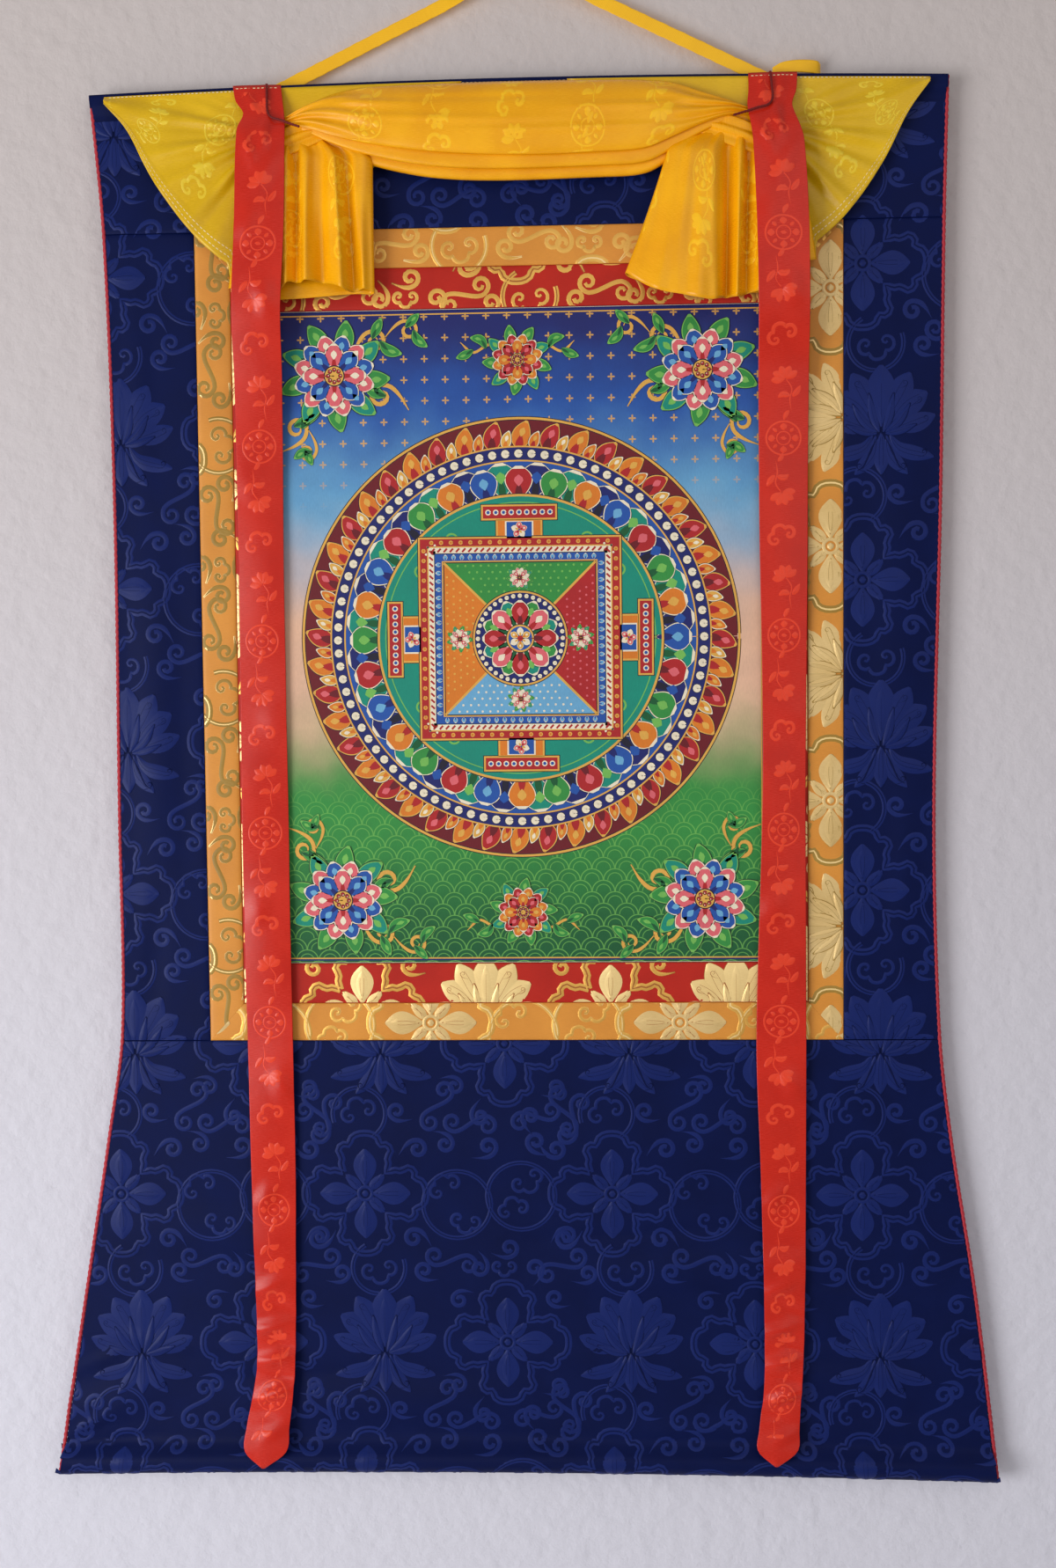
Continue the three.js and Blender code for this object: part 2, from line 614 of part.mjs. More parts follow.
// Joins closed geometries into one body.
function joined(pieces) {
  const solids = pieces.map((piece) => new wasm.Manifold(new wasm.Mesh({
    numProp: 3,
    vertProperties: new Float32Array(piece.getAttribute('position').array),
    triVerts: new Uint32Array(piece.getIndex().array),
  })));
  const whole = solids.reduce((body, solid) => body.add(solid)).getMesh();
  const geometry = new THREE.BufferGeometry();
  geometry.setAttribute('position', new THREE.BufferAttribute(new Float32Array(whole.vertProperties), 3));
  geometry.setIndex(new THREE.BufferAttribute(new Uint32Array(whole.triVerts), 1));
  return closed(geometry);
}

function ribbon(rows) {
  return bentBox(STEPS.ribbon.across, STEPS.ribbon.along, (u, v, side) => {
    const z = lerp(rows[0].z, RIBBON_TOP, v);
    const x = along(rows, 'z', 'centre', z) + (u - 0.5) * along(rows, 'z', 'width', z);
    const cup = RIBBON_CUP * (2 * u - 1) ** 2;
    const depth = clothDepth(x, z) + along(RIBBON_DEPTHS, 'z', 'depth', z) - cup;
    return new THREE.Vector3(x, side * RIBBON_HALF - depth, z);
  });
}

function tie(rows) {
  const points = rows.map(({ x, z, depth }) => new THREE.Vector3(x, -depth, z));
  return roundCord(points, TIE_RADIUS, STEPS.tie.along);
}

// Flat strap along its route: it faces the front on both legs and lies flat over the hanging point.
function strap() {
  const points = STRAP_ROUTE.map(({ x, z }) => new THREE.Vector3(x, STRAP.setBack, z));
  const route = new THREE.CatmullRomCurve3(points);
  const back = new THREE.Vector3(0, 1, 0);
  return bentBox(STEPS.strap.along, 1, (u, v, side) => {
    const ahead = route.getTangentAt(u);
    const inPlane = new THREE.Vector3().crossVectors(ahead, back);
    const turn = (Math.PI / 2) * (1 - smoothstep(Math.abs(u - 0.5), STRAP.flatReach, STRAP.twistReach));
    const wide = inPlane.clone().multiplyScalar(Math.cos(turn)).addScaledVector(back, Math.sin(turn));
    const thick = new THREE.Vector3().crossVectors(ahead, wide);
    return route.getPointAt(u)
      .addScaledVector(wide, (v - 0.5) * STRAP.width)
      .addScaledVector(thick, side * STRAP.half);
  });
}

function strapTail() {
  const route = STRAP_TAIL.map((row, i) => ({ ...row, i }));
  return silkSheet(STEPS.strapTail.along, 1, (u, v) => {
    const at = (column) => along(route, 'i', column, u * (STRAP_TAIL.length - 1));
    return new THREE.Vector3(at('x'), -at('depth'), at('z') + (v - 0.5) * at('width'));
  }, STRAP.half);
}

const paintingReach = { x: PAINTING.width / 2, z: PAINTING.height / 2 };
const redReach = { x: paintingReach.x + RED_STRIP.side, z: paintingReach.z + RED_STRIP.end };
const goldReach = { x: GOLD_X, z: GOLD_Z };
const seamX = GOLD_X + SEAM_GAP / 2;

add('painting', painting(), FINISH.canvas);
addBorder('border_red', paintingReach, redReach, FINISH.red);
addBorder('border_gold', redReach, goldReach, FINISH.gold);
add('panel_top', panelTop(), FINISH.damask);
add('panel_left', panelSide(leftEdge, -seamX), FINISH.damask);
add('panel_right', panelSide(rightEdge, seamX), FINISH.damask);
add('panel_bottom', panelBottom(), FINISH.damask);
add('piping_left', piping(leftEdge, -1), FINISH.piping);
add('piping_right', piping(rightEdge, 1), FINISH.piping);
add('veil', joined([
  swag(),
  ...KNOTS.map(knot),
  wing(WING_LEFT, TIE_POINT.left),
  wing(WING_RIGHT, TIE_POINT.right),
  tail(TAIL_LEFT),
  tail(TAIL_RIGHT),
]), FINISH.silk);
add('ribbon_left', ribbon(RIBBON_LEFT), FINISH.satin);
add('ribbon_right', ribbon(RIBBON_RIGHT), FINISH.satin);
add('tie_left', tie(TIE_LEFT), FINISH.string);
add('tie_right', tie(TIE_RIGHT), FINISH.string);
add('strap', strap(), FINISH.silk);
add('strap_tail', strapTail(), FINISH.silk);

export default scroll;
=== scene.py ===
"""Looks of a thangka scroll painting: brocade borders, blue damask, silk veil, satin ribbons and strap."""

import math

import bmesh
import bpy
import numpy as np
from mathutils import Matrix, Vector


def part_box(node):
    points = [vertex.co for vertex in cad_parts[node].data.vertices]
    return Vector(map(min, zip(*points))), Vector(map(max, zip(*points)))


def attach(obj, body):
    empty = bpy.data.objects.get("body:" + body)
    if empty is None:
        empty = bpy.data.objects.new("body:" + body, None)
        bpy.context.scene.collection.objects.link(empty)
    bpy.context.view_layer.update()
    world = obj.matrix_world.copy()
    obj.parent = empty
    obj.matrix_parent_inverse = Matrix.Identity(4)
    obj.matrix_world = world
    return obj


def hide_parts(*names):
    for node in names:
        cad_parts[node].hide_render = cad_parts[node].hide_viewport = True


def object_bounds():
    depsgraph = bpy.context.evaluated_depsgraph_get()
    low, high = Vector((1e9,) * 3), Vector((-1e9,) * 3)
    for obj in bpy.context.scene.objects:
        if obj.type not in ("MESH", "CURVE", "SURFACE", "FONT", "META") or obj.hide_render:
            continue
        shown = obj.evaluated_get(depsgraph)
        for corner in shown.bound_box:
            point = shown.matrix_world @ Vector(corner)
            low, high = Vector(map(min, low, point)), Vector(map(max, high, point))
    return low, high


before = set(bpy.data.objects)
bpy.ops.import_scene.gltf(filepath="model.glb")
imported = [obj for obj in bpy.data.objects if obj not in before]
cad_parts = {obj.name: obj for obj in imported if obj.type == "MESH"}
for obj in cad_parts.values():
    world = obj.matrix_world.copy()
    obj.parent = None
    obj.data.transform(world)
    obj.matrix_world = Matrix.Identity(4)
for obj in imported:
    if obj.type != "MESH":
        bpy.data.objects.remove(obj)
CAD_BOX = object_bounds()

MM = 0.001
CENTRE = np.mean([list(corner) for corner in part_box("painting")], axis=0)


# Sizes and tables of the scroll in millimetres from the painting's centre, as the solids have them.

def table(columns, *rows):
    """Rows of numbers as named columns."""
    return dict(zip(columns.split(), np.array(rows, float).T))


SEAM_GAP = -0.06
FRONT = 1.0
CLOTH_THICKNESS = 1.4
PAINTING = (381, 508)
RED_STRIP = (31.5, 31.7)
GOLD_STRIP = (27.5, 29.8)
TOP_EDGE = 427
TOP_BOW = 6
BOTTOM_EDGE = -664
BOTTOM_BOW = 4
EDGE_REACH = 350
TOP_HEM_HALF = 3.5
ROLL_RADIUS = 10.5
PIPING_DIAMETER = 3.4
PIPING_BITE = 0.65
VEIL_DROP = 3.5
VEIL_SEAM_DEPTH = 4.6

LONG_EDGES = table(
    "z left right",
    (-672, -382, 372.5),
    (-520, -356, 354),
    (-391, -334, 334),
    (-307, -321.5, 325),
    (-138, -320, 320.5),
    (110, -318, 325),
    (313, -321.5, 327),
    (428, -330, 329.5),
)
CREASES = table(
    "x z length width turn height",
    (150, -498, 170, 20, 3, 2.6),
    (235, -588, 140, 18, -2, 3.0),
    (-110, -606, 170, 20, 2, 2.4),
    (-250, -470, 120, 26, -4, 1.8),
    (20, -400, 260, 34, 0, 1.6),
    (-340, -610, 60, 22, 12, 3.0),
    (292, 40, 230, 26, 90, 2.4),
    (-288, -60, 200, 24, 90, 2.2),
)
WING_LEFT = table(
    "s top hem_x hem_z",
    (0.0, -316, -315, 412),
    (0.2, -279, -297.3, 390.9),
    (0.4, -242, -277.9, 352.9),
    (0.6, -206, -249.3, 313.7),
    (0.75, -180, -224, 291.5),
    (0.87, -150, -203, 285),
    (1.0, -40, -60, 400),
)
WING_RIGHT = table(
    "s top hem_x hem_z",
    (0.0, 314, 313, 414),
    (0.2, 278, 296.6, 391.2),
    (0.4, 244, 278, 355),
    (0.6, 212, 253.2, 320),
    (0.75, 186, 230, 299),
    (0.87, 156, 210, 290),
    (1.0, 40, 60, 400),
)
WING_FOLDS = table(
    "angle spread height",
    (-9, 6, 3.2),
    (9, 6, 4.6),
    (26, 7, 4.2),
    (45, 8, 5.2),
    (64, 7, 3.6),
)
TIE_POINTS = {"left": (-186, 388), "right": (190, 386)}
SWAG = table(
    "x top bottom front",
    (-177, 398, 389, 15),
    (-160, 408, 383, 22),
    (-138, 417, 371, 25),
    (-110, 421, 361, 27),
    (-60, 422.5, 351, 29),
    (5, 423, 346, 30),
    (70, 422.5, 347.5, 29.5),
    (100, 421.5, 351, 28),
    (120, 419, 362, 26),
    (142, 411, 376, 24),
    (162, 404, 386, 21),
    (179, 398, 389, 15),
)
TAIL_TOP = 373
TAIL_TUCK = 15
TAIL_LEFT = table(
    "top_x top_depth low_x low_depth low_z",
    (-206, 13, -221, 13, 270),
    (-196, 16, -204, 17, 268),
    (-184, 13, -186, 13, 266),
    (-175, 18, -174, 21, 271),
    (-167, 14, -167, 15, 272),
    (-158, 19, -159, 26, 273),
    (-148, 16, -146, 18, 270),
    (-138, 21, -131, 27, 266),
    (-129, 15, -124, 16, 265),
    (-118, 18, -115, 19, 265),
    (-108, 14, -108, 14, 265),
    (-116, 9.8, -118, 9.8, 264),
    (-150, 9.5, -150, 9.5, 262),
    (-194, 9.5, -206, 9.5, 262),
)
TAIL_RIGHT = table(
    "top_x top_depth low_x low_depth low_z",
    (214, 13, 228, 13, 283),
    (204, 16, 209, 17, 276),
    (194, 13, 193, 13, 264),
    (186, 18, 183, 20, 258),
    (178, 14, 174, 14, 257),
    (170, 19, 167, 23, 255),
    (162, 14, 159, 15, 254),
    (153, 20, 150, 27, 252),
    (142, 21, 129, 28, 255),
    (131, 20, 105, 26, 259),
    (121, 16, 84, 19, 275),
    (127, 10.2, 92, 12, 270),
    (152, 9.5, 132, 10, 258),
    (195, 9.5, 205, 9.8, 262),
)
KNOTS = table(
    "x z half_width half_height depth half_depth",
    (-168, 380, 37, 16, 10.8, 7),
    (168, 377, 40, 17, 10.8, 7),
)
RIBBON_TOP = 424
RIBBON_DEPTHS = table(
    "z depth",
    (-660, 14.5),
    (-642, 13.5),
    (-622, 8.5),
    (-590, 8.0),
    (-540, 6.5),
    (-300, 6.0),
    (100, 6.5),
    (200, 12),
    (250, 25),
    (300, 28.5),
    (350, 27.5),
    (384, 23.5),
    (400, 16),
    (424, 7.5),
)
RIBBON_LEFT = table(
    "z centre width",
    (-657, -211.5, 3),
    (-644, -209.5, 33),
    (-626, -208, 34.5),
    (-599, -203.5, 32.5),
    (-570, -200.5, 30.5),
    (-427, -200.3, 35),
    (-187, -201.5, 36.5),
    (90, -200.6, 35.5),
    (237, -198.5, 37.5),
    (318, -193.5, 38),
    (388, -191.8, 36.5),
    (401, -190.8, 31),
    (411, -194.6, 36),
    (424, -197, 37),
)
RIBBON_RIGHT = table(
    "z centre width",
    (-652, 195.5, 3),
    (-640, 196.5, 31),
    (-625, 198, 31.5),
    (-596, 200.6, 29.5),
    (-553, 202.4, 31),
    (-427, 202, 35),
    (-314, 200.6, 38.5),
    (-100, 203.4, 33),
    (90, 203.1, 37),
    (260, 202.4, 38.5),
    (369, 198.4, 38),
    (397, 192.6, 33.5),
    (410, 195, 36),
    (424, 195.6, 36.8),
)
TIE_RADIUS = 1.0
TIE_LEFT = table(
    "x z depth",
    (-189, 424, 9.6),
    (-188.3, 413, 13.8),
    (-187.4, 402, 17.5),
    (-184, 396, 20.4),
    (-176, 393, 21.8),
    (-169, 390, 23.0),
    (-162, 387, 25.6),
)
TIE_RIGHT = table(
    "x z depth",
    (193.6, 424, 9.6),
    (194.3, 413, 13.8),
    (194.6, 402, 17.5),
    (191, 396.4, 20.4),
    (183, 394, 21.8),
    (174, 391, 22.6),
    (165, 388, 24.8),
)
STRAP_WIDTH = 10
STRAP_HALF = 0.7
STRAP_SET_BACK = 4.7
STRAP_FLAT_REACH = 0.02
STRAP_TWIST_REACH = 0.16
STRAP_ROUTE = table(
    "x z",
    (-197, 416.4),
    (-184, 422.6),
    (-166, 431.2),
    (-145, 441.1),
    (-120, 453.0),
    (-95, 464.9),
    (-70, 476.7),
    (-45, 488.6),
    (-25, 498.1),
    (-12, 504.2),
    (-4, 507.9),
    (1.5, 510.2),
    (6.5, 511.4),
    (11.5, 510.4),
    (17, 508.2),
    (25, 504.4),
    (40, 497.2),
    (60, 487.4),
    (85, 475.2),
    (110, 462.9),
    (135, 450.7),
    (158, 439.4),
    (178, 429.6),
    (190, 423.7),
    (204, 416.8),
)
STRAP_TAIL = table(
    "x z depth width",
    (196, 427.4, 0.6, 4),
    (203, 429.2, 0.8, 7.5),
    (212, 430.2, 0.6, 9),
    (222, 430.4, -0.6, 9.5),
    (230, 429.9, -3.4, 9.5),
    (233, 428.6, -7.0, 9.5),
)


# Measures along the tables.

def lerp(start, end, share):
    return start + (end - start) * share


def smooth_step(value, low, high):
    t = np.clip((value - low) / (high - low), 0, 1)
    return t * t * (3 - 2 * t)


def hump(distance, reach):
    """A soft hump, one at its middle and nothing beyond its reach."""
    return np.clip(1 - (distance / reach) ** 2, 0, 1) ** 2


def along(rows, column, place, key=None):
    """A column at a place along the key column, or along the row numbers, on a smooth curve."""
    values = rows[column]
    keys = rows[key] if key else np.arange(len(values), dtype=float)
    place = np.clip(place, keys[0], keys[-1])
    row = np.clip(np.searchsorted(keys, place, "left") - 1, 0, len(keys) - 2)
    before = np.maximum(np.arange(len(keys)) - 1, 0)
    after = np.minimum(np.arange(len(keys)) + 1, len(keys) - 1)
    slopes = (values[after] - values[before]) / (keys[after] - keys[before])
    span = keys[row + 1] - keys[row]
    t = (place - keys[row]) / span
    start, end = values[row], values[row + 1]
    curve = 2 * start - 2 * end + span * (slopes[row] + slopes[row + 1])
    bend = 3 * end - 3 * start - span * (2 * slopes[row] + slopes[row + 1])
    return start + t * (span * slopes[row] + t * (bend + t * curve))


def at(x, z, depth):
    """Places of the scroll in the frame's metres; depth is towards the viewer."""
    x, z, depth = np.broadcast_arrays(x, z, depth)
    return CENTRE + MM * np.stack([x, -depth, z], -1)


EDGE_INSET = PIPING_DIAMETER - PIPING_BITE


def left_edge(z):
    return along(LONG_EDGES, "left", z, "z") + EDGE_INSET


def right_edge(z):
    return along(LONG_EDGES, "right", z, "z") - EDGE_INSET


def top_edge(x):
    return TOP_EDGE - TOP_BOW * (x / EDGE_REACH) ** 2


def bottom_edge(x):
    return BOTTOM_EDGE - BOTTOM_BOW * (x / EDGE_REACH) ** 2


def creases(rows, x, z):
    """Height of soft creases, each with a centre, half length, half width, turn and height."""
    height = np.zeros(np.broadcast(x, z).shape)
    for cx, cz, length, width, turn, rise in zip(*rows.values()):
        cosine, sine = math.cos(math.radians(turn)), math.sin(math.radians(turn))
        lengthwise = (x - cx) * cosine + (z - cz) * sine
        across = (z - cz) * cosine - (x - cx) * sine
        height += rise * hump(lengthwise, length) * hump(across, width)
    return height


FINE_CREASES = table(
    "x z length width turn height",
    (95, -470, 150, 9, 4, -1.3),
    (260, -520, 90, 8, -6, 1.2),
    (210, -556, 130, 8, 2, -1.4),
    (60, -572, 120, 9, -3, 1.1),
    (300, -615, 70, 9, 5, -1.3),
    (150, -628, 140, 8, 1, 1.2),
    (-40, -632, 150, 9, -1, -1.1),
    (-180, -585, 110, 9, 4, -1.1),
    (-290, -560, 70, 9, -8, 1.0),
    (-345, -575, 30, 7, 20, 1.5),
    (-350, -625, 34, 6, 28, 1.8),
    (-330, -640, 50, 7, 8, -1.2),
    (345, -560, 34, 7, -24, 1.3),
    (-300, 330, 60, 14, 70, 1.0),
    (297, -180, 120, 16, 88, 1.2),
    (-296, 190, 110, 15, 92, 1.0),
    (-292, -250, 80, 14, 84, -0.8),
    (300, 250, 90, 15, 93, -0.9),
)


def cloth_depth(x, z):
    """How far the hanging cloth stands forward of its plane."""
    return creases(CREASES, x, z) + creases(FINE_CREASES, x, z)


# Camera and strap come first.

def set_camera():
    right = Vector((0.99891, 0.04545, -0.01051))
    up = Vector((0.00776, 0.06018, 0.99816))
    back = right.cross(up)
    data = bpy.data.cameras.new("photo_camera")
    data.sensor_width = 36
    data.lens = 42.42
    camera = bpy.data.objects.new("photo_camera", data)
    turn = Matrix((right, up, back)).transposed().to_4x4()
    camera.matrix_world = Matrix.Translation((0.0646, -1.4441, -0.5386)) @ turn
    bpy.context.scene.collection.objects.link(camera)
    bpy.context.scene.camera = camera


set_camera()


# Meshes: grids that are moved into place, with a UV map in real metres.

def even(count):
    return np.linspace(0, 1, count + 1)


def with_edges(count, span, near=(0.5, 1.2, 2.4, 4.5)):
    """Even levels with closer ones near both ends of a span in millimetres."""
    close = np.array(near) / span
    middle = np.linspace(close[-1], 1 - close[-1], count + 1)[1:-1]
    return np.concatenate([[0], close, middle, 1 - close[::-1], [1]])


def add_grid(bm, us, vs, place, flat, material=0):
    """Adds a grid to bm with its points at place(u, v) and its UV map, in millimetres, at flat(u, v)."""
    first = len(bm.faces)
    made = bmesh.ops.create_grid(bm, x_segments=len(us) - 1, y_segments=len(vs) - 1, size=0.5)["verts"]
    share = np.array([vert.co[:2] for vert in made]) + 0.5
    u = np.interp(share[:, 0] * (len(us) - 1), np.arange(len(us)), us)
    v = np.interp(share[:, 1] * (len(vs) - 1), np.arange(len(vs)), vs)
    cut = MM * np.stack(np.broadcast_arrays(*flat(u, v)), -1)
    cut_of = {}
    for vert, point, spot in zip(made, place(u, v), cut):
        vert.co = point
        cut_of[vert] = spot
    layer = bm.loops.layers.uv.verify()
    bm.faces.ensure_lookup_table()
    for face in bm.faces[first:]:
        face.material_index = material
        face.smooth = True
        for loop in face.loops:
            loop[layer].uv = cut_of[loop.vert]
    return made


def finish_piece(bm, name, materials, replaces=(), thickness=0, back=None):
    """Makes bm an object that rides on the scroll, with a wall of cloth where it has a thickness."""
    mesh = bpy.data.meshes.new(name)
    bm.to_mesh(mesh)
    bm.free()
    piece = bpy.data.objects.new(name, mesh)
    bpy.context.scene.collection.objects.link(piece)
    for material in materials:
        mesh.materials.append(material)
    if thickness:
        wall = piece.modifiers.new("cloth_wall", "SOLIDIFY")
        wall.thickness = thickness * MM
        wall.offset = -1
        wall.use_even_offset = False
        if back:
            mesh.materials.append(back)
            wall.material_offset = len(materials)
    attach(piece, "root")
    if replaces:
        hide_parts(*replaces)
    return piece


def weld(bm, distance=0.02):
    bmesh.ops.remove_doubles(bm, verts=bm.verts[:], dist=distance * MM)


def spline(points, t):
    """Places on a smooth curve through points, with t from 0 to 1."""
    points = np.asarray(points, float)
    columns = {str(i): points[:, i] for i in range(points.shape[1])}
    return np.stack([along(columns, name, t * (len(points) - 1)) for name in columns], -1)


def even_spline(points, count):
    """Points at even distances on a smooth curve."""
    fine = spline(points, np.linspace(0, 1, 40 * len(points)))
    run = np.concatenate([[0], np.cumsum(np.linalg.norm(np.diff(fine, axis=0), axis=1))])
    wanted = np.linspace(0, run[-1], count + 1)
    return np.stack([np.interp(wanted, run, fine[:, i]) for i in range(fine.shape[1])], -1), run[-1]


# Finishes.

class Tone:
    """A node's output in a material, for sums written as Python."""

    def __init__(self, tree, socket=None):
        self.tree = tree
        self.socket = socket

    def node(self, kind, settings=None, inputs=None, output=0):
        """Adds a node: its settings first, then the values or links of its sockets."""
        node = self.tree.nodes.new(kind)
        for name, setting in (settings or {}).items():
            setattr(node, name, setting)
        for key, value in (inputs or {}).items():
            if isinstance(value, Tone):
                self.tree.links.new(value.socket, node.inputs[key])
            else:
                node.inputs[key].default_value = value
        return Tone(self.tree, node.outputs[output])

    def maths(self, operation, *values):
        return self.node("ShaderNodeMath", {"operation": operation}, dict(enumerate(values)))

    def __add__(self, other):
        return self.maths("ADD", self, other)

    def __radd__(self, other):
        return self.maths("ADD", other, self)

    def __sub__(self, other):
        return self.maths("SUBTRACT", self, other)

    def __rsub__(self, other):
        return self.maths("SUBTRACT", other, self)

    def __mul__(self, other):
        return self.maths("MULTIPLY", self, other)

    def __rmul__(self, other):
        return self.maths("MULTIPLY", other, self)

    def __truediv__(self, other):
        return self.maths("DIVIDE", self, other)

    def __rtruediv__(self, other):
        return self.maths("DIVIDE", other, self)

    def __pow__(self, other):
        return self.maths("POWER", self, other)

    def __mod__(self, other):
        return self.maths("FLOORED_MODULO", self, other)

    def __abs__(self):
        return self.maths("ABSOLUTE", self)

    def wave(self, pitch):
        """A wave from 0 to 1 along this length."""
        return 0.5 + 0.5 * self.maths("SINE", self * (2 * math.pi / pitch))

    def smooth(self, low, high):
        inputs = {"Value": self, "From Min": low, "From Max": high}
        return self.node("ShaderNodeMapRange", {"interpolation_type": "SMOOTHSTEP"}, inputs)

    def blend(self, first, second):
        """Two colours mixed, with this as the second one's share."""
        pair = [colour if isinstance(colour, Tone) else (*colour[:3], 1) for colour in (first, second)]
        return self.node("ShaderNodeMix", {"data_type": "RGBA"}, {0: self, 6: pair[0], 7: pair[1]}, 2)

    def below(self, edge, soft=0.25):
        """One below an edge and nothing above it, with a soft step."""
        return self.smooth(edge + soft, edge - soft)

    def feed(self, shader, name):
        self.tree.links.new(self.socket, shader.inputs[name])


def new_finish(name, **sockets):
    """A material with plain values on its shader's sockets, and a start for its nodes."""
    material = bpy.data.materials.new(name)
    material.use_nodes = True
    shader = material.node_tree.nodes["Principled BSDF"]
    for socket, value in sockets.items():
        shader.inputs[socket.replace("_", " ")].default_value = value
    return material, shader, Tone(material.node_tree)


def flat_places(start):
    """The two directions of a piece's UV map, in metres."""
    places = start.node("ShaderNodeUVMap")
    u = start.node("ShaderNodeSeparateXYZ", None, {0: places}, 0)
    v = start.node("ShaderNodeSeparateXYZ", None, {0: places}, 1)
    return u, v


def cloudy(start, u, v, scale, detail=2.0):
    """Soft patches that follow the cloth; u and v may be stretched."""
    spot = start.node("ShaderNodeCombineXYZ", None, {0: u, 1: v})
    inputs = {"Vector": spot, "Scale": scale, "Detail": detail}
    return start.node("ShaderNodeTexNoise", {"noise_dimensions": "2D"}, inputs)


def woven(name, light, dark, pitch, slant=1.0, roughness=0.5, swing=0.1, relief=0.04, wear=0.35, **sockets):
    """Cloth: slanted threads over cross threads, uneven dye and fine slubs."""
    material, shader, start = new_finish(name, **{"Specular_IOR_Level": 0.3, **sockets})
    u, v = flat_places(start)
    rib = (u + v * slant).wave(pitch * MM)
    cross = (v - u * (slant * 0.4)).wave(pitch * 0.83 * MM)
    dye = cloudy(start, u, v, 26)
    slub = cloudy(start, u * 220, v * 2600, 1, 3)
    depth = rib * 0.6 + cross * 0.4
    share = dye * wear * 1.6 + depth * 0.28 + slub * 0.34 - (0.8 * wear - 0.19)
    share.smooth(0, 1).blend((*dark, 1), (*light, 1)).feed(shader, "Base Color")
    (roughness + (dye + slub - 1.0) * swing).feed(shader, "Roughness")
    threads = depth + slub * 0.7
    bump = start.node("ShaderNodeBump", None, {"Strength": 0.8, "Distance": relief * MM, "Height": threads})
    bump.feed(shader, "Normal")
    return material


DAMASK = woven("blue_damask_ground", (0.0014, 0.0062, 0.058), (0.0007, 0.0034, 0.034),
               0.62, 0.5, 0.55, 0.14, 0.04, Specular_IOR_Level=0.09)
DAMASK_RAISED = woven("blue_damask_figure", (0.0046, 0.0150, 0.118), (0.0028, 0.0096, 0.084),
                      0.5, 0.3, 0.42, 0.12, 0.03, Specular_IOR_Level=0.16)
DAMASK_BACK = woven("blue_damask_reverse", (0.020, 0.030, 0.110), (0.010, 0.015, 0.058), 0.8, -0.6, 0.72, 0.1)
GOLD = woven("gold_brocade_ground", (0.74, 0.30, 0.040), (0.52, 0.19, 0.022),
             0.62, 0.5, 0.44, 0.12, 0.04, Sheen_Weight=0.06)
GOLD_BACK = woven("gold_brocade_reverse", (0.62, 0.34, 0.10), (0.42, 0.20, 0.05), 0.8, -0.6, 0.7, 0.1)
RED = woven("red_brocade_ground", (0.52, 0.022, 0.010), (0.34, 0.012, 0.007),
            0.62, 0.5, 0.5, 0.1, 0.04, Specular_IOR_Level=0.18)
RED_BACK = woven("red_brocade_reverse", (0.42, 0.07, 0.04), (0.24, 0.03, 0.02), 0.8, -0.6, 0.7, 0.1)
OLIVE_THREAD = woven("olive_thread", (0.40, 0.235, 0.040), (0.26, 0.145, 0.020), 0.5, 0.3, 0.42, 0.1, 0.03)
GOLD_THREAD = woven("gold_metal_thread", (0.86, 0.50, 0.12), (0.60, 0.30, 0.05),
                    0.5, 0.3, 0.36, 0.1, 0.04, Metallic=0.55)
PALE_GOLD_THREAD = woven("pale_gold_thread", (0.95, 0.72, 0.33), (0.76, 0.50, 0.18),
                         0.5, 0.3, 0.38, 0.1, 0.03, Metallic=0.4)
CREAM_THREAD = woven("cream_thread", (0.82, 0.60, 0.28), (0.58, 0.37, 0.12),
                     0.5, 0.3, 0.34, 0.1, 0.05, Metallic=0.35)
RUST_THREAD = woven("rust_thread", (0.44, 0.15, 0.025), (0.26, 0.07, 0.012), 0.5, 0.3, 0.5, 0.1, 0.03)
DAMASK_FIGURE = (DAMASK_RAISED, DAMASK_RAISED, DAMASK, DAMASK)
GOLD_FIGURE_TURNED = (OLIVE_THREAD, CREAM_THREAD, OLIVE_THREAD, PALE_GOLD_THREAD)
GOLD_FIGURE_UPRIGHT = (GOLD_THREAD, CREAM_THREAD, RUST_THREAD, PALE_GOLD_THREAD)
RED_FIGURE = (GOLD_THREAD, PALE_GOLD_THREAD, RUST_THREAD, RUST_THREAD)
RAW_CANVAS = woven("raw_canvas", (0.62, 0.55, 0.44), (0.46, 0.39, 0.29), 0.9, 0.0, 0.85, 0.06, 0.10)
SILK = woven("yellow_silk", (0.97, 0.47, 0.003), (0.74, 0.28, 0.001), 0.5, 0.2, 0.27, 0.12, 0.03)
SILK_SINGLE = woven("yellow_silk_single", (0.78, 0.48, 0.007), (0.53, 0.30, 0.003),
                    0.5, 0.2, 0.27, 0.12, 0.03)
SILK_RAISED = woven("yellow_silk_figure", (0.99, 0.60, 0.016), (0.86, 0.38, 0.006), 0.5, 0.4, 0.24, 0.1, 0.03)
SILK_SINGLE_RAISED = woven("yellow_silk_single_figure", (0.82, 0.60, 0.040), (0.66, 0.44, 0.018),
                           0.5, 0.4, 0.24, 0.1, 0.03)
# The strap's silk is a lighter, yellower copy of the veil's silk. This is painted light, standing in for the
# light the strap catches over the top of the scroll.
STRAP_SILK_PAINTED_LIGHT = woven("yellow_strap_painted_light", (0.96, 0.54, 0.012), (0.80, 0.40, 0.006), 0.5, 0.2, 0.40, 0.12, 0.03)
SATIN = woven("red_satin", (0.64, 0.022, 0.006), (0.42, 0.009, 0.003), 0.5, 0.15, 0.27, 0.12, 0.03)
SATIN_RAISED = woven("red_satin_figure", (0.80, 0.060, 0.020), (0.62, 0.034, 0.012),
                     0.5, 0.4, 0.22, 0.1, 0.03)
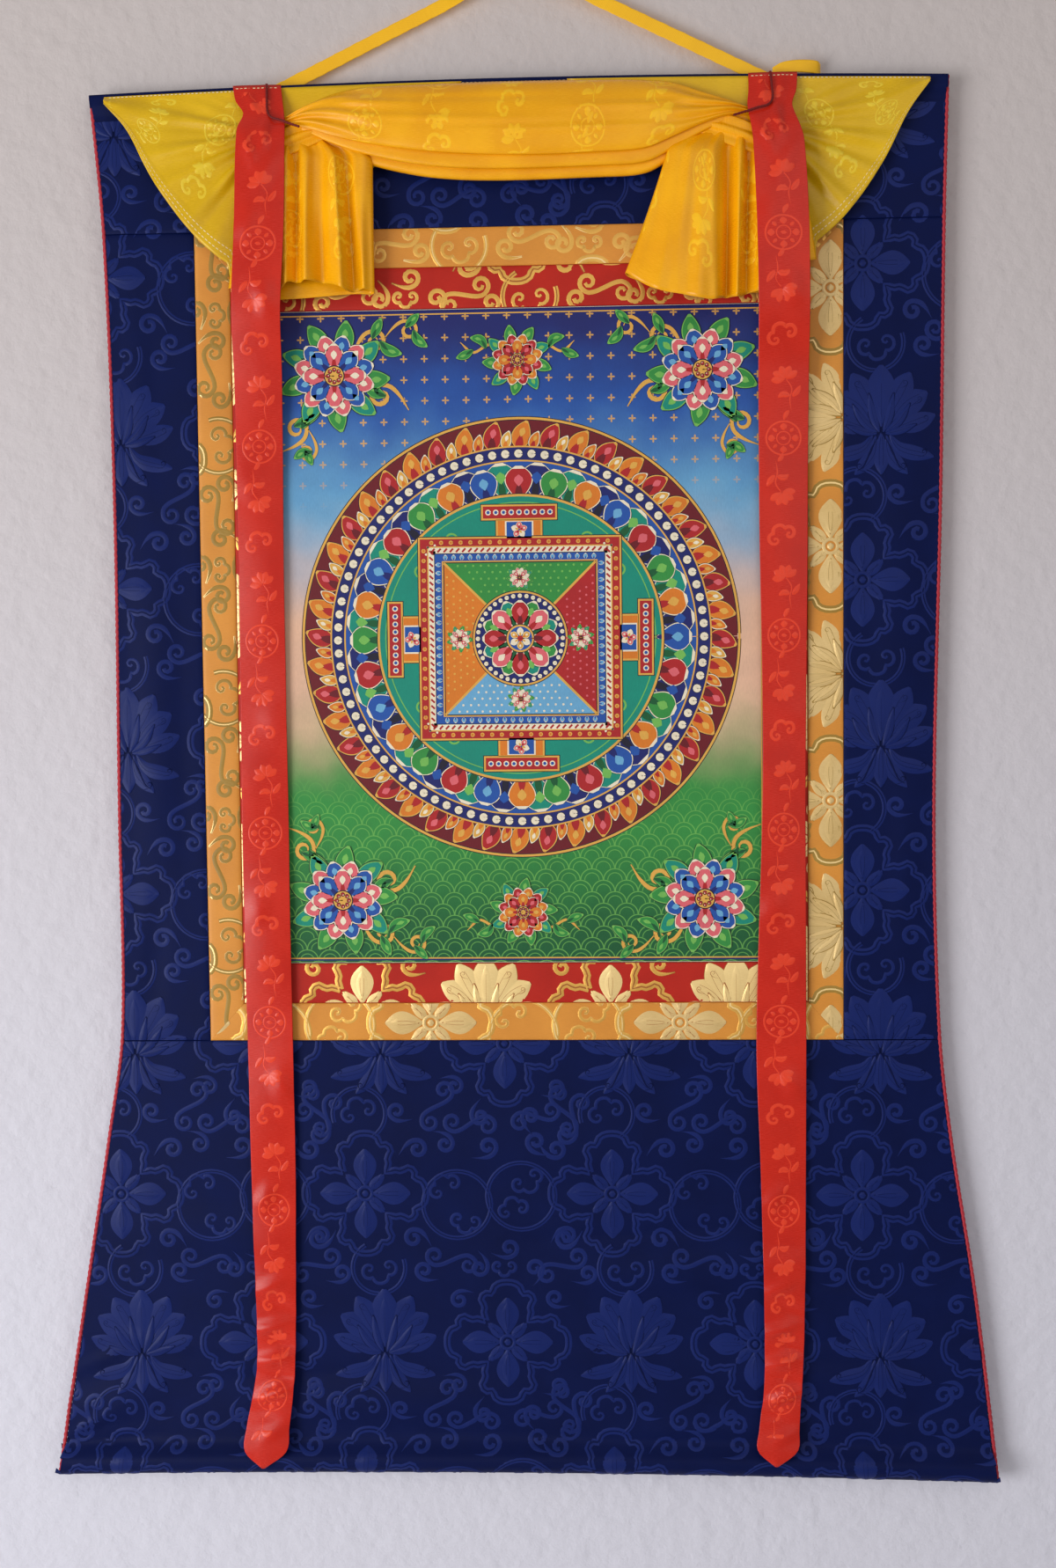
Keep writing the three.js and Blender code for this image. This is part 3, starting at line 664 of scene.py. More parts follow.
PIPING = woven("red_piping", (0.50, 0.030, 0.045), (0.30, 0.014, 0.022), 0.7, 1.0, 0.6, 0.1, 0.05)
STRING = woven("dark_red_string", (0.22, 0.010, 0.008), (0.10, 0.004, 0.004), 0.5, 1.0, 0.6, 0.1, 0.05)
THREAD = woven("pale_thread", (0.86, 0.74, 0.46), (0.66, 0.50, 0.24), 0.4, 1.0, 0.5, 0.1, 0.03)


# Hanging strap.

def strap():
    """Flat silk band that faces the front on both legs and lies flat over the hanging point."""
    points, length = even_spline(np.stack([STRAP_ROUTE["x"], STRAP_ROUTE["z"]], -1), 150)
    ahead = np.gradient(points, axis=0)
    ahead /= np.linalg.norm(ahead, axis=1)[:, None]
    middle = np.abs(np.linspace(-0.5, 0.5, len(points)))
    turn = math.pi / 2 * (1 - smooth_step(middle, STRAP_FLAT_REACH, STRAP_TWIST_REACH))
    in_plane = np.stack([-ahead[:, 1], np.zeros(len(points)), ahead[:, 0]], -1)
    back = np.array([0, 1.0, 0])
    wide = in_plane * np.cos(turn)[:, None] + back * np.sin(turn)[:, None]
    forward = np.stack([ahead[:, 0], np.zeros(len(points)), ahead[:, 1]], -1)
    thick = np.cross(wide, forward)
    centre = np.stack([points[:, 0], np.full(len(points), STRAP_SET_BACK), points[:, 1]], -1)

    def place(u, v):
        row = np.rint(v * (len(points) - 1)).astype(int)
        angle = 2 * math.pi * u
        across = np.sign(np.cos(angle)) * np.abs(np.cos(angle)) ** 0.35 * STRAP_WIDTH / 2
        pucker = 1 + 0.05 * np.sin(row * 1.7) * np.sin(row * 0.61)
        out = np.sin(angle) * STRAP_HALF * (0.62 + 0.38 * np.abs(np.cos(angle)) ** 2)
        point = centre[row] + wide[row] * (across * pucker)[:, None] + thick[row] * out[:, None]
        return CENTRE + MM * point

    bm = bmesh.new()
    add_grid(bm, even(20), even(len(points) - 1), place, lambda u, v: (u * 22, v * length))
    weld(bm)
    bmesh.ops.holes_fill(bm, edges=[edge for edge in bm.edges if edge.is_boundary])
    bmesh.ops.recalc_face_normals(bm, faces=bm.faces[:])
    piece = finish_piece(bm, "hanging_strap", [STRAP_SILK_PAINTED_LIGHT], ["strap"])
    return piece, [tuple(CENTRE + MM * point) for point in centre], length * MM


def strap_tail():
    """Free end of the strap, turned down behind the hem."""
    last = len(STRAP_TAIL["x"]) - 1

    def place(u, v):
        x = along(STRAP_TAIL, "x", u * last)
        z = along(STRAP_TAIL, "z", u * last)
        depth = along(STRAP_TAIL, "depth", u * last)
        width = along(STRAP_TAIL, "width", u * last)
        cup = 0.5 * np.sin(9 * u) * (2 * v - 1)
        return at(x, z + (v - 0.5) * width, depth + STRAP_HALF + cup)

    bm = bmesh.new()
    add_grid(bm, even(40), even(10), place, lambda u, v: (u * 40, v * 10))
    return finish_piece(bm, "strap_free_end", [STRAP_SILK_PAINTED_LIGHT], ["strap_tail"], 1.2)


STRAP_END = strap_tail()
STRAP, STRAP_PATH, STRAP_LENGTH = strap()


# Woven figures: bands and petals in millimetres on the flat cloth, laid on its folds afterwards.

FRAME, FLOWER, VEIN, EDGE = range(4)
FIGURE_RISE = 0.30
FIGURE_LAYER = 0.12
FIGURE_SINK = 0.2
PART_BANDS = 24
GRID_SHARES = {}


def grid_shares(across, steps):
    """Shares along and across a grid for each of its points, in the order that Blender makes them."""
    if (across, steps) not in GRID_SHARES:
        bm = bmesh.new()
        made = bmesh.ops.create_grid(bm, x_segments=steps, y_segments=across, size=0.5)["verts"]
        GRID_SHARES[across, steps] = np.array([vert.co[:2] for vert in made]).T + 0.5
        bm.free()
    return GRID_SHARES[across, steps]


class Band:
    """A strip of raised weave along a line, with its half width at each point and one ridge or two."""

    def __init__(self, line, half, material, layer=0, across=2, ridges=1):
        self.line = np.asarray(line, float)
        self.half = np.broadcast_to(half, len(self.line)).astype(float)
        self.material = material
        self.layer = layer
        self.across = across
        self.ridges = ridges

    def moved(self, x, z, size=1.0, turn=0, flip=False):
        cosine, sine = math.cos(math.radians(turn)), math.sin(math.radians(turn))
        line = self.line * (-size if flip else size, size) @ np.array([[cosine, sine], [-sine, cosine]])
        return Band(line + (x, z), self.half * size, self.material, self.layer, self.across, self.ridges)

    def meets(self, low, high):
        reach = self.half.max()
        return np.all(self.line.max(0) + reach > low) and np.all(self.line.min(0) - reach < high)

    def points(self):
        """Places and heights of the band's grid."""
        along_it, across = grid_shares(self.across, len(self.line) - 1)
        row = np.rint(along_it * (len(self.line) - 1)).astype(int)
        side = 2 * across - 1
        ahead = np.gradient(self.line, axis=0)
        ahead /= np.linalg.norm(ahead, axis=1)[:, None] + 1e-9
        aside = np.stack([-ahead[row, 1], ahead[row, 0]], -1)
        flat = self.line[row] + aside * (side * self.half[row])[:, None]
        ridge = side if self.ridges == 1 else 2 * np.abs(side) - 1
        rise = FIGURE_RISE * np.minimum(1, self.half[row] / 0.9)
        height = self.layer * FIGURE_LAYER + rise * (1 - ridge ** 2) - FIGURE_SINK * np.abs(side) ** 6
        return np.column_stack([flat, height])


def placed(bands, x=0, z=0, size=1.0, turn=0, flip=False):
    return [band.moved(x, z, size, turn, flip) for band in bands]


def mirrored(bands):
    return bands + placed(bands, flip=True)


def stroke(points, half, material=FRAME, count=16, layer=0, ends=(0.4, 0.5), across=2):
    """A smooth band through points that narrows to a share of its width at each end."""
    line, _ = even_spline(points, count)
    t = np.linspace(0, 1, count + 1)
    narrow = lerp(ends[0], 1, smooth_step(t, 0, 0.3)) * lerp(1, ends[1], smooth_step(t, 0.82, 1))
    return Band(line, half * narrow, material, layer, across)


def edged(band, rim=0.55):
    """A frame band on a slightly wider edge."""
    under = Band(band.line, band.half + rim, EDGE, band.layer)
    return [under, Band(band.line, band.half, band.material, band.layer + 0.8, band.across, band.ridges)]


def petal(points, half, layer=0, count=10, ribs=1, fullness=0.85, blunt=0.75):
    """A filled petal along its spine, on a darker outline, with fine ribs."""
    line, _ = even_spline(points, count)
    t = np.linspace(0, 1, count + 1)
    wide = half * np.sin(math.pi * np.clip(t, 0.015, 0.985) ** fullness) ** blunt
    bands = [Band(line, wide + 0.6, VEIN, layer), Band(line, wide, FLOWER, layer + 0.9, 4)]
    ahead = np.gradient(line, axis=0)
    aside = np.stack([-ahead[:, 1], ahead[:, 0]], -1) / (np.linalg.norm(ahead, axis=1)[:, None] + 1e-9)
    for rib in np.linspace(-1, 1, ribs + 2)[1:-1]:
        rib_line = line[1:-2] + aside[1:-2] * (rib * 0.8 * wide[1:-2])[:, None]
        bands.append(Band(rib_line, 0.4, VEIN, layer + 2.9))
    return bands


def loop(points, count):
    """Points at even distances round a smooth closed line."""
    points = np.asarray(points, float)
    wrapped = np.concatenate([points[-3:], points, points[:4]])
    fine = spline(wrapped, np.linspace(3, len(points) + 3, 12 * len(points)) / (len(wrapped) - 1))
    run = np.concatenate([[0], np.cumsum(np.linalg.norm(np.diff(fine, axis=0), axis=1))])
    wanted = np.linspace(0, run[-1], count + 1)
    return np.stack([np.interp(wanted, run, fine[:, i]) for i in range(2)], -1)


def curl_line(radius, turns=1.15, reach=13.0, lift=5.0):
    """A tail that winds into a curl."""
    wind = np.linspace(0, 1, 12)
    angle = -math.pi / 2 + 2 * math.pi * turns * wind
    curl = (radius * (1 - 0.7 * wind))[:, None] * np.stack([np.cos(angle), np.sin(angle)], -1)
    tail = [(-reach, -radius + lift), (-reach * 0.6, -radius + lift * 0.35), (-reach * 0.25, -radius)]
    return np.concatenate([tail, curl])


def hook():
    """A cloud hook with a round end."""
    return edged(stroke(curl_line(6.2), 2.0, FRAME, 22, ends=(0.3, 0.9)))


def scroll():
    """A cloud scroll with a curl at both ends."""
    half = curl_line(6.2, reach=12.0, lift=7.0)
    half = half - half[0]
    return edged(stroke(np.concatenate([-half[:0:-1], half]), 1.9, FRAME, 38, ends=(0.8, 0.8)))


CLOUD_SIDE = ((0, 0.95), (0.28, 0.88), (0.45, 0.66), (0.44, 0.5), (0.66, 0.56), (0.93, 0.40), (1.0, 0.08),
              (0.84, -0.2), (0.55, -0.27), (0.37, -0.08), (0.5, 0.12), (0.66, 0.03))


def cloud_head(size):
    """A three-lobed cloud head whose two sides curl in."""
    side = size * np.array(CLOUD_SIDE)
    line = np.concatenate([side[::-1] * (-1, 1), side[1:]])
    return edged(stroke(line, 1.7, FRAME, 38, ends=(0.8, 0.8)))


def ring(radius, half, start=0, sweep=360, count=36):
    angle = np.radians(np.linspace(start, start + sweep, count + 1))
    line = radius * np.stack([np.cos(angle), np.sin(angle)], -1)
    return edged(Band(line, half, FRAME, across=4, ridges=2))


QUATREFOIL_SIDE = (
    (17.6, 17.6), (19.5, 24.0), (18.6, 30.0), (21.6, 35.0),
    (18.6, 40.6), (12.2, 40.6), (11.6, 45.0), (6.6, 49.0),
)


def quatrefoil(scale, count):
    """Line of a four-armed cloud frame."""
    arm = [(-x, z) for x, z in QUATREFOIL_SIDE] + [(0, 50.0)] + list(QUATREFOIL_SIDE[:0:-1])
    arm = scale * np.array(arm)
    quarters = []
    for quarter in range(4):
        cosine, sine = math.cos(-quarter * math.pi / 2), math.sin(-quarter * math.pi / 2)
        quarters.append(arm @ np.array([[cosine, sine], [-sine, cosine]]))
    return loop(np.concatenate(quarters), count)


def framed_flower():
    """A cross-shaped flower in its cloud frame."""
    bands = edged(Band(quatrefoil(0.97, 104), 3.1, FRAME, across=4, ridges=2), 0.8)
    for quarter in range(4):
        arm = petal(((0, 5), (0, 20), (0, 36)), 9.2, 1, 11, 0, 1.25, 0.8)
        arm += petal(((0, 9), (0, 21), (0, 32)), 6.0, 3, 8, 2, 1.2)
        arm += mirrored(petal(((3, 6), (9, 9), (13.5, 16)), 3.4, 0, 7, 1))
        bands += placed(arm, turn=90 * quarter)
        bands += placed(petal(((0, 4), (0, 12), (0, 22)), 4.6, 0, 7, 1), turn=45 + 90 * quarter)
    bands.append(Band(ring(5.4, 1.3, count=18)[1].line, 1.3, FLOWER, 4))
    bands.append(Band([(-2.6, 0), (-1.1, 0), (1.1, 0), (2.6, 0)], (0.4, 2.5, 2.5, 0.4), FLOWER, 4, 4))
    return bands


LOTUS_PETALS = table(
    "base_x base_z mid_x mid_z tip_x tip_z half layer ribs",
    (8, -6, 24, -2, 41, 5, 8.0, 0, 2),
    (7, -1, 19, 12, 35, 22, 9.4, 1, 2),
    (4, 2, 13, 20, 22, 37, 9.6, 2, 2),
    (6, -9, 15, -21, 40, -27, 5.8, 1, 2),
    (4, -10, 7, -25, 20, -40, 5.4, 2, 2),
)


def lotus():
    """A palmette of layered petals with drooping sepals and a bud below."""
    bands = []
    for bx, bz, mx, mz, tx, tz, half, layer, ribs in zip(*LOTUS_PETALS.values()):
        side = petal(((bx, bz), (mx, mz), (tx, tz)), half, layer, 11, int(ribs), 1.2, 0.7)
        side += placed([stroke(curl_line(2.2, 1.1, 6.0, 2.0), 0.45, VEIN, 12, layer + 3.2)],
                       lerp(bx, tx, 0.78), lerp(bz, tz, 0.78), 1, 40)
        bands += mirrored(side)
    bands += petal(((0, -4), (0, 20), (0, 43)), 11.0, 3, 12, 0, 1.3, 0.7)
    bands += petal(((0, 0), (0, 18), (0, 36)), 6.6, 4, 10, 1, 1.3)
    bands += mirrored(petal(((1.5, -8), (6, 4), (9.5, 22)), 3.0, 6, 9, 1))
    bands += mirrored(petal(((3, -8), (13, 0), (22, 14)), 3.0, 5, 9, 1))
    bands += mirrored(petal(((3, -9), (14, -7), (27, -2)), 2.8, 4, 9, 1))
    bands += mirrored([stroke(((3, -12), (8, -22), (13, -33), (18, -37)), 0.8, VEIN, 12, 6)])
    bands += petal(((0, -8), (0, -24), (0, -40)), 6.0, 3, 9, 2, 1.2)
    return bands


TILE = (196.0, 240.0)
TILE_HOOKS = table(
    "x z size turn flip",
    (-34, 56, 1.1, 20, 0),
    (32, 58, 1.1, -25, 1),
    (60, 34, 1.05, 200, 0),
    (136, 36, 1.05, -20, 1),
    (58, -34, 1.05, 160, 1),
    (138, -35, 1.05, 20, 0),
    (24, 84, 1.2, 150, 0),
    (-52, 84, 1.2, 30, 1),
    (28, 156, 1.2, 205, 1),
    (-58, 156, 1.2, -30, 0),
    (50, 160, 1.1, 140, 1),
    (84, 158, 1.2, 30, 0),
    (122, 162, 1.2, -40, 1),
    (100, 76, 1.15, 10, 0),
    (12, 186, 1.1, -20, 1),
    (146, 86, 1.1, -150, 1),
    (76, 60, 1.1, 100, 1),
    (120, 60, 1.1, 80, 0),
    (78, -58, 1.1, -100, 0),
    (118, -58, 1.1, -80, 1),
)
TILE_SCROLLS = table(
    "x z size turn flip",
    (54, 66, 1.15, -20, 1),
    (142, 62, 1.15, 35, 0),
    (44, 190, 1.15, 70, 0),
    (152, 180, 1.15, 60, 1),
    (70, 176, 1.15, -10, 1),
    (122, 182, 1.1, 25, 0),
    (-52, 186, 1.15, 100, 1),
)
TILE_CLOUDS = table(
    "x z size turn",
    (-18, 184, 13.5, 20),
    (-4, 60, 13.5, 190),
    (50, 124, 12.5, 30),
    (114, 132, 12.5, -150),
    (66, 99, 11.5, 170),
    (104, 106, 11.5, 15),
    (96, 62, 9, 180),
)


def brocade_tile():
    """One repeat of the brocade: lotus and framed flower, then framed flower and linked rings."""
    bands = []
    for rows, motif in ((TILE_HOOKS, hook()), (TILE_SCROLLS, scroll())):
        for x, z, size, turn, flip in zip(*rows.values()):
            bands += placed(motif, x, z, size, turn, bool(flip))
    for x, z, size, turn in zip(*TILE_CLOUDS.values()):
        bands += placed(cloud_head(size), x, z, 1, turn)
    for x, z in ((59, 111), (110, 118)):
        bands += placed(ring(27, 2.0), x, z)
    for x, z, start in ((-18, 184, -60), (-4, 60, 120)):
        bands += placed(ring(21, 2.0, start, 260, 26), x, z)
    return bands + lotus() + placed(framed_flower(), 98, 0) + placed(framed_flower(), -14, 120)


BROCADE_TILE = brocade_tile()


def trim(bm, point, outward, curve=None):
    """Cuts away what lies beyond a line, or beyond a curved edge with its x at curve(z)."""
    if curve:
        shifts = curve(np.array([vert.co.y for vert in bm.verts]))
        for vert, shift in zip(bm.verts, shifts):
            vert.co.x -= shift
    geometry = bm.verts[:] + bm.edges[:] + bm.faces[:]
    bmesh.ops.bisect_plane(bm, geom=geometry, dist=1e-5, plane_co=point, plane_no=outward, clear_outer=True)
    if curve and bm.verts:
        shifts = curve(np.array([vert.co.y for vert in bm.verts]))
        for vert, shift in zip(bm.verts, shifts):
            vert.co.x += shift


def cut_figure(bands, low, high, cuts=()):
    """A bmesh of bands in x, z and height, trimmed to a rectangle and by further cuts."""
    bands = [band for band in bands if band.meets(low, high)]
    sides = [((low[0], 0, 0), (-1, 0, 0)), ((high[0], 0, 0), (1, 0, 0)),
             ((0, low[1], 0), (0, -1, 0)), ((0, high[1], 0), (0, 1, 0))]
    whole = bmesh.new()
    for first in range(0, len(bands), PART_BANDS):
        some = bands[first:first + PART_BANDS]
        part = bmesh.new()
        for band in some:
            bmesh.ops.create_grid(part, x_segments=len(band.line) - 1, y_segments=band.across, size=0.5)
        mesh = bpy.data.meshes.new("figure_part")
        part.to_mesh(mesh)
        mesh.vertices.foreach_set("co", np.concatenate([band.points() for band in some]).ravel())
        faces = [(len(band.line) - 1) * band.across for band in some]
        mesh.polygons.foreach_set("material_index", np.repeat([band.material for band in some], faces))
        mesh.polygons.foreach_set("use_smooth", np.ones(sum(faces), bool))
        part.clear()
        part.from_mesh(mesh)
        for cut in [*sides, *cuts]:
            trim(part, *cut)
        part.to_mesh(mesh)
        part.free()
        whole.from_mesh(mesh)
        bpy.data.meshes.remove(mesh)
    return whole


def brocade(low, high, start, turn=0):
    """Bands of the brocade over a rectangle, with a lotus at start and the repeat turned by quarters."""
    tile = placed(BROCADE_TILE, turn=turn)
    across, up = TILE[::-1] if turn % 180 else TILE
    reach_low = np.min([band.line.min(0) for band in tile], 0) - 4
    reach_high = np.max([band.line.max(0) for band in tile], 0) + 4
    bands = []
    for i in range(math.floor((low[0] - start[0] - reach_high[0]) / across),
                   math.ceil((high[0] - start[0] - reach_low[0]) / across) + 1):
        for j in range(math.floor((low[1] - start[1] - reach_high[1]) / up),
                       math.ceil((high[1] - start[1] - reach_low[1]) / up) + 1):
            corner = np.array(start) + (i * across, j * up)
            inside = [band for band in tile if band.meets(low - corner, high - corner)]
            bands += placed(inside, *corner)
    return bands


def knot_roundel():
    """A round lattice: two rings with four petals and four buds between them."""
    bands = edged(Band(ring(12.6, 0.9, count=28)[1].line, 0.9, FRAME), 0.3)
    bands.append(Band(ring(5.0, 0.8, count=20)[1].line, 0.8, FRAME))
    for turn in (0, 90, 180, 270):
        bands += placed(petal(((0, 5.6), (0, 8.2), (0, 11.4)), 2.9, 0, 6, 0, 1.2), turn=turn)
        bands += placed(petal(((0, 6.4), (0, 8.6), (0, 11.0)), 1.5, 0, 5, 0), turn=turn + 45)
    return bands + [Band([(-2.2, 0), (-0.8, 0), (0.8, 0), (2.2, 0)], (0.5, 2.1, 2.1, 0.5), FLOWER)]


def spray():
    """A flower on a bent stem with two leaves and a bud."""
    bands = [stroke(((-3, -19), (-1, -10), (3, -3), (1, 6)), 0.8, FRAME, 14)]
    for turn in (-75, -38, 0, 38, 75):
        bands += placed(petal(((0, 0), (0, 5), (0, 10.5)), 3.2, 0, 6, 0, 1.2), 1, 5, 1, turn)
    bands += placed(petal(((0, 0), (-4, 3), (-9, 2)), 2.6, 0, 6, 1), 0, -8)
    bands += placed(petal(((0, 0), (4, 2), (9, 6)), 2.4, 0, 6, 1), 1, -9)
    return bands + placed(petal(((0, 0), (2, 3), (3, 8)), 2.0, 0, 6, 0), -4, -18, 1, 150)


def small_repeat(low, high, across, up):
    """Small sprays, roundels and cloud heads in a drop repeat."""
    unit = knot_roundel() + placed(spray(), 2, up * 0.26, 1, 20) + placed(cloud_head(10), -1, up * 0.5, 1, 25)
    unit += placed(spray(), -2, up * 0.76, 1, -160)
    bands = []
    for i in range(math.floor(low[0] / across) - 1, math.ceil(high[0] / across) + 2):
        for j in range(math.floor(low[1] / up) - 2, math.ceil(high[1] / up) + 2):
            bands += placed(unit, i * across, (j + 0.37 * (i % 3)) * up)
    return bands


def stitches(points, pitch, length, half=0.38):
    """Short stitches along a line."""
    fine, run = even_spline(points, 200)
    count = int(run / pitch)
    bands = []
    for i in range(count):
        share = (np.array([0, 0.5, 1]) * length / pitch + i) / count * 200
        line = np.stack([np.interp(share, np.arange(201), fine[:, k]) for k in range(2)], -1)
        bands.append(Band(line, half * np.array([0.6, 1, 0.6]), FRAME, 1.5))
    return bands


def finish_figure(bm, name, materials, lay):
    """Lays a trimmed figure on its cloth with lay(x, z, height) and makes it a piece."""
    flat = np.array([vert.co[:] for vert in bm.verts])
    mesh = bpy.data.meshes.new(name)
    bm.to_mesh(mesh)
    bm.free()
    mesh.vertices.foreach_set("co", lay(*flat.T).ravel())
    corners = np.empty(len(mesh.loops), np.int32)
    mesh.loops.foreach_get("vertex_index", corners)
    mesh.uv_layers.new(name="UVMap").uv.foreach_set("vector", (MM * flat[corners, :2]).ravel())
    mesh.update()
    piece = bpy.data.objects.new(name, mesh)
    bpy.context.scene.collection.objects.link(piece)
    for material in materials:
        mesh.materials.append(material)
    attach(piece, "root")
    return piece


# Picture on the canvas: thin layers of paint, flat bands in millimetres from its centre.

PAINTING_REACH = (PAINTING[0] / 2, PAINTING[1] / 2)
PAINT_COLOURS = {
    "ink": (0.012, 0.010, 0.026),
    "gold": (0.760, 0.400, 0.070),
    "deep_blue": (0.011, 0.016, 0.135),
    "blue": (0.016, 0.085, 0.360),
    "sky": (0.150, 0.400, 0.620),
    "teal": (0.006, 0.260, 0.175),
    "dark_green": (0.008, 0.100, 0.030),
    "leaf": (0.035, 0.270, 0.050),
    "light_leaf": (0.180, 0.480, 0.090),
    "orange": (0.720, 0.200, 0.018),
    "red": (0.430, 0.016, 0.018),
    "pink": (0.740, 0.130, 0.150),
    "cream": (0.880, 0.770, 0.560),
    "maroon": (0.150, 0.008, 0.014),
}
INK, GOLD_PAINT, DEEP_BLUE, BLUE, SKY, TEAL, DARK_GREEN = range(7)
LEAF, LIGHT_LEAF, ORANGE, RED_PAINT, PINK, CREAM, MAROON = range(7, 14)
PAINT_LAYER = 0.03
SHADES = {
    RED_PAINT: (MAROON, PINK),
    BLUE: (DEEP_BLUE, SKY),
    LEAF: (DARK_GREEN, LIGHT_LEAF),
    ORANGE: (RED_PAINT, GOLD_PAINT),
    TEAL: (DARK_GREEN, LIGHT_LEAF),
    PINK: (RED_PAINT, CREAM),
    DEEP_BLUE: (INK, BLUE),
    CREAM: (GOLD_PAINT, CREAM),
    GOLD_PAINT: (ORANGE, CREAM),
    SKY: (BLUE, CREAM),
    DARK_GREEN: (INK, LEAF),
}


def dab(line, half, paint, layer):
    return Band(line, np.maximum(half, 0.03), paint, layer, 1)


def brushed(points, half, paint, layer, count=14, ends=(0.25, 0.25)):
    """A brush line through points that thins out at both ends."""
    line = stroke(points, half, paint, count, layer, ends, 1)
    return [line]


def painted_petal(points, half, fill, layer, count=12, fullness=1.0, blunt=0.7, rim=CREAM, seed=True):
    """A petal: dark outline, pale rim, fill, dark base and a light drop near its tip."""
    line, _ = even_spline(points, count)
    t = np.linspace(0, 1, count + 1)
    wide = half * np.sin(math.pi * np.clip(t, 0.02, 0.98) ** fullness) ** blunt
    dark, light = SHADES[fill]
    edge = min(0.55, 0.1 * half)
    bands = [dab(line, wide + edge, INK, layer), dab(line, wide, rim, layer + 1)]
    bands.append(dab(line[:-1], wide[:-1] - 1.5 * edge, fill, layer + 2))
    low = int(0.5 * count)
    bands.append(dab(line[:low + 1], wide[:low + 1] * np.linspace(0.8, 0.05, low + 1), dark, layer + 3))
    if seed:
        tip = slice(int(0.45 * count), int(0.9 * count))
        drop = np.sin(math.pi * np.linspace(0.02, 0.98, len(line[tip])) ** 1.2)
        bands.append(dab(line[tip], 0.34 * half * drop, light, layer + 4))
    return bands


def petal_ring(count, inner, outer, half, fills, layer, shift=0.0, lean=0.0, **shape):
    bands = []
    for i in range(count):
        spine = ((0, inner), (lean * 0.35, (inner + outer) / 2), (lean, outer))
        petal_bands = painted_petal(spine, half, fills[i % len(fills)], layer, **shape)
        bands += placed(petal_bands, turn=360 * (i + shift) / count)
    return bands


def annulus(inner, outer, paint, layer, count=96):
    angle = np.linspace(0, 2 * math.pi, count + 1)
    line = (inner + outer) / 2 * np.stack([np.cos(angle), np.sin(angle)], -1)
    return dab(line, (outer - inner) / 2, paint, layer)


def disc(radius, paint, layer, count=48):
    return annulus(0.04, radius, paint, layer, count)


def bead_ring(count, radius, size, paint, layer):
    bead = [disc(size + 0.45, INK, layer, 12), disc(size, paint, layer + 1, 12)]
    bead += placed([disc(0.34 * size, CREAM, layer + 2, 8)], -0.25 * size, 0.3 * size)
    bands = []
    for i in range(count):
        turn = 360 * i / count
        bands += placed(bead, radius * math.cos(math.radians(turn)), radius * math.sin(math.radians(turn)))
    return bands


def block(x, z, half_x, half_z, paint, layer):
    return dab([(x - half_x, z), (x + half_x, z)], half_z, paint, layer)


def quarters(bands):
    return [band for turn in (0, 90, 180, 270) for band in placed(bands, turn=turn)]


def rosette(size, leaves, blooms, layer):
    """A flower with two rings of petals in a ring of leaves."""
    bands = petal_ring(9, 0.40 * size, 1.0 * size, 0.17 * size, leaves, layer, 0.5, 0.12 * size,
                       fullness=0.9, rim=LIGHT_LEAF)
    bands += petal_ring(12, 0.26 * size, 0.74 * size, 0.16 * size, blooms[::-1], layer + 4, 0.5, fullness=1.3)
    bands += petal_ring(8, 0.08 * size, 0.58 * size, 0.17 * size, blooms, layer + 6, fullness=1.4)
    bands += [disc(0.19 * size, INK, layer + 11, 24), disc(0.17 * size, GOLD_PAINT, layer + 12, 24)]
    return bands + bead_ring(8, 0.11 * size, 0.03 * size, RED_PAINT, layer + 13)


def wheel():
    """Rings of flames, beads and petals round a green disc."""
    bands = [disc(171, INK, 0, 128), annulus(168.6, 170.4, GOLD_PAINT, 1, 128)]
    bands += [annulus(147, 168, MAROON, 1, 128)]
    bands += petal_ring(44, 146, 167.4, 7.4, (ORANGE, RED_PAINT), 2, 0, 7.0, fullness=0.8, rim=GOLD_PAINT)
    bands += petal_ring(44, 146, 160, 4.2, (GOLD_PAINT, ORANGE), 4, 0.5, 4.5, fullness=0.8, rim=CREAM)
    bands += [annulus(136.4, 148.4, GOLD_PAINT, 8, 128), annulus(137.6, 147.2, DEEP_BLUE, 9, 128)]
    bands += bead_ring(88, 142.4, 3.2, CREAM, 10)
    bands += [annulus(108, 136.4, BLUE, 3, 128)]
    bands += petal_ring(28, 108, 136, 12.0, (TEAL, DEEP_BLUE), 4, 0.5, fullness=1.5, blunt=0.6)
    bands += petal_ring(28, 106, 133, 11.0, (RED_PAINT, BLUE, ORANGE, LEAF), 6, 0, fullness=1.4, blunt=0.6)
    bands += [disc(112, INK, 11, 96), annulus(109.6, 111.4, GOLD_PAINT, 12, 96), disc(109.6, TEAL, 12, 96)]
    bands += [annulus(104.6, 105.4, LIGHT_LEAF, 13, 96)]
    return bands


def disc_sprays():
    """Curling sprays on the green disc beyond the corners of the square."""
    spray = []
    for flip in (False, True):
        tendril = brushed(curl_line(5.4, 1.3, 15, 7), 0.75, LIGHT_LEAF, 14, 26)
        shoot = brushed(curl_line(3.6, 1.2, 11, 6), 0.6, LIGHT_LEAF, 14, 22)
        tendril += placed(shoot, -10, -7.5, 1, -40, True)
        tendril += placed(painted_petal(((0, 0), (3, 3), (8, 4)), 2.0, LEAF, 14, 8), -8, -2, 1, 40)
        tendril += placed(painted_petal(((0, 0), (3, -2), (7, -6)), 1.8, LEAF, 14, 8), -14, -1, 1, -30)
        spray += placed(placed(tendril, 17, 4), 0, 88, 1.0, 0, flip)
    spray += placed(petal_ring(6, 1, 8.5, 2.8, (PINK, CREAM), 15), 0, 95)
    spray += placed([disc(2.0, GOLD_PAINT, 20, 16)], 0, 95)
    return placed(quarters(spray), turn=45)


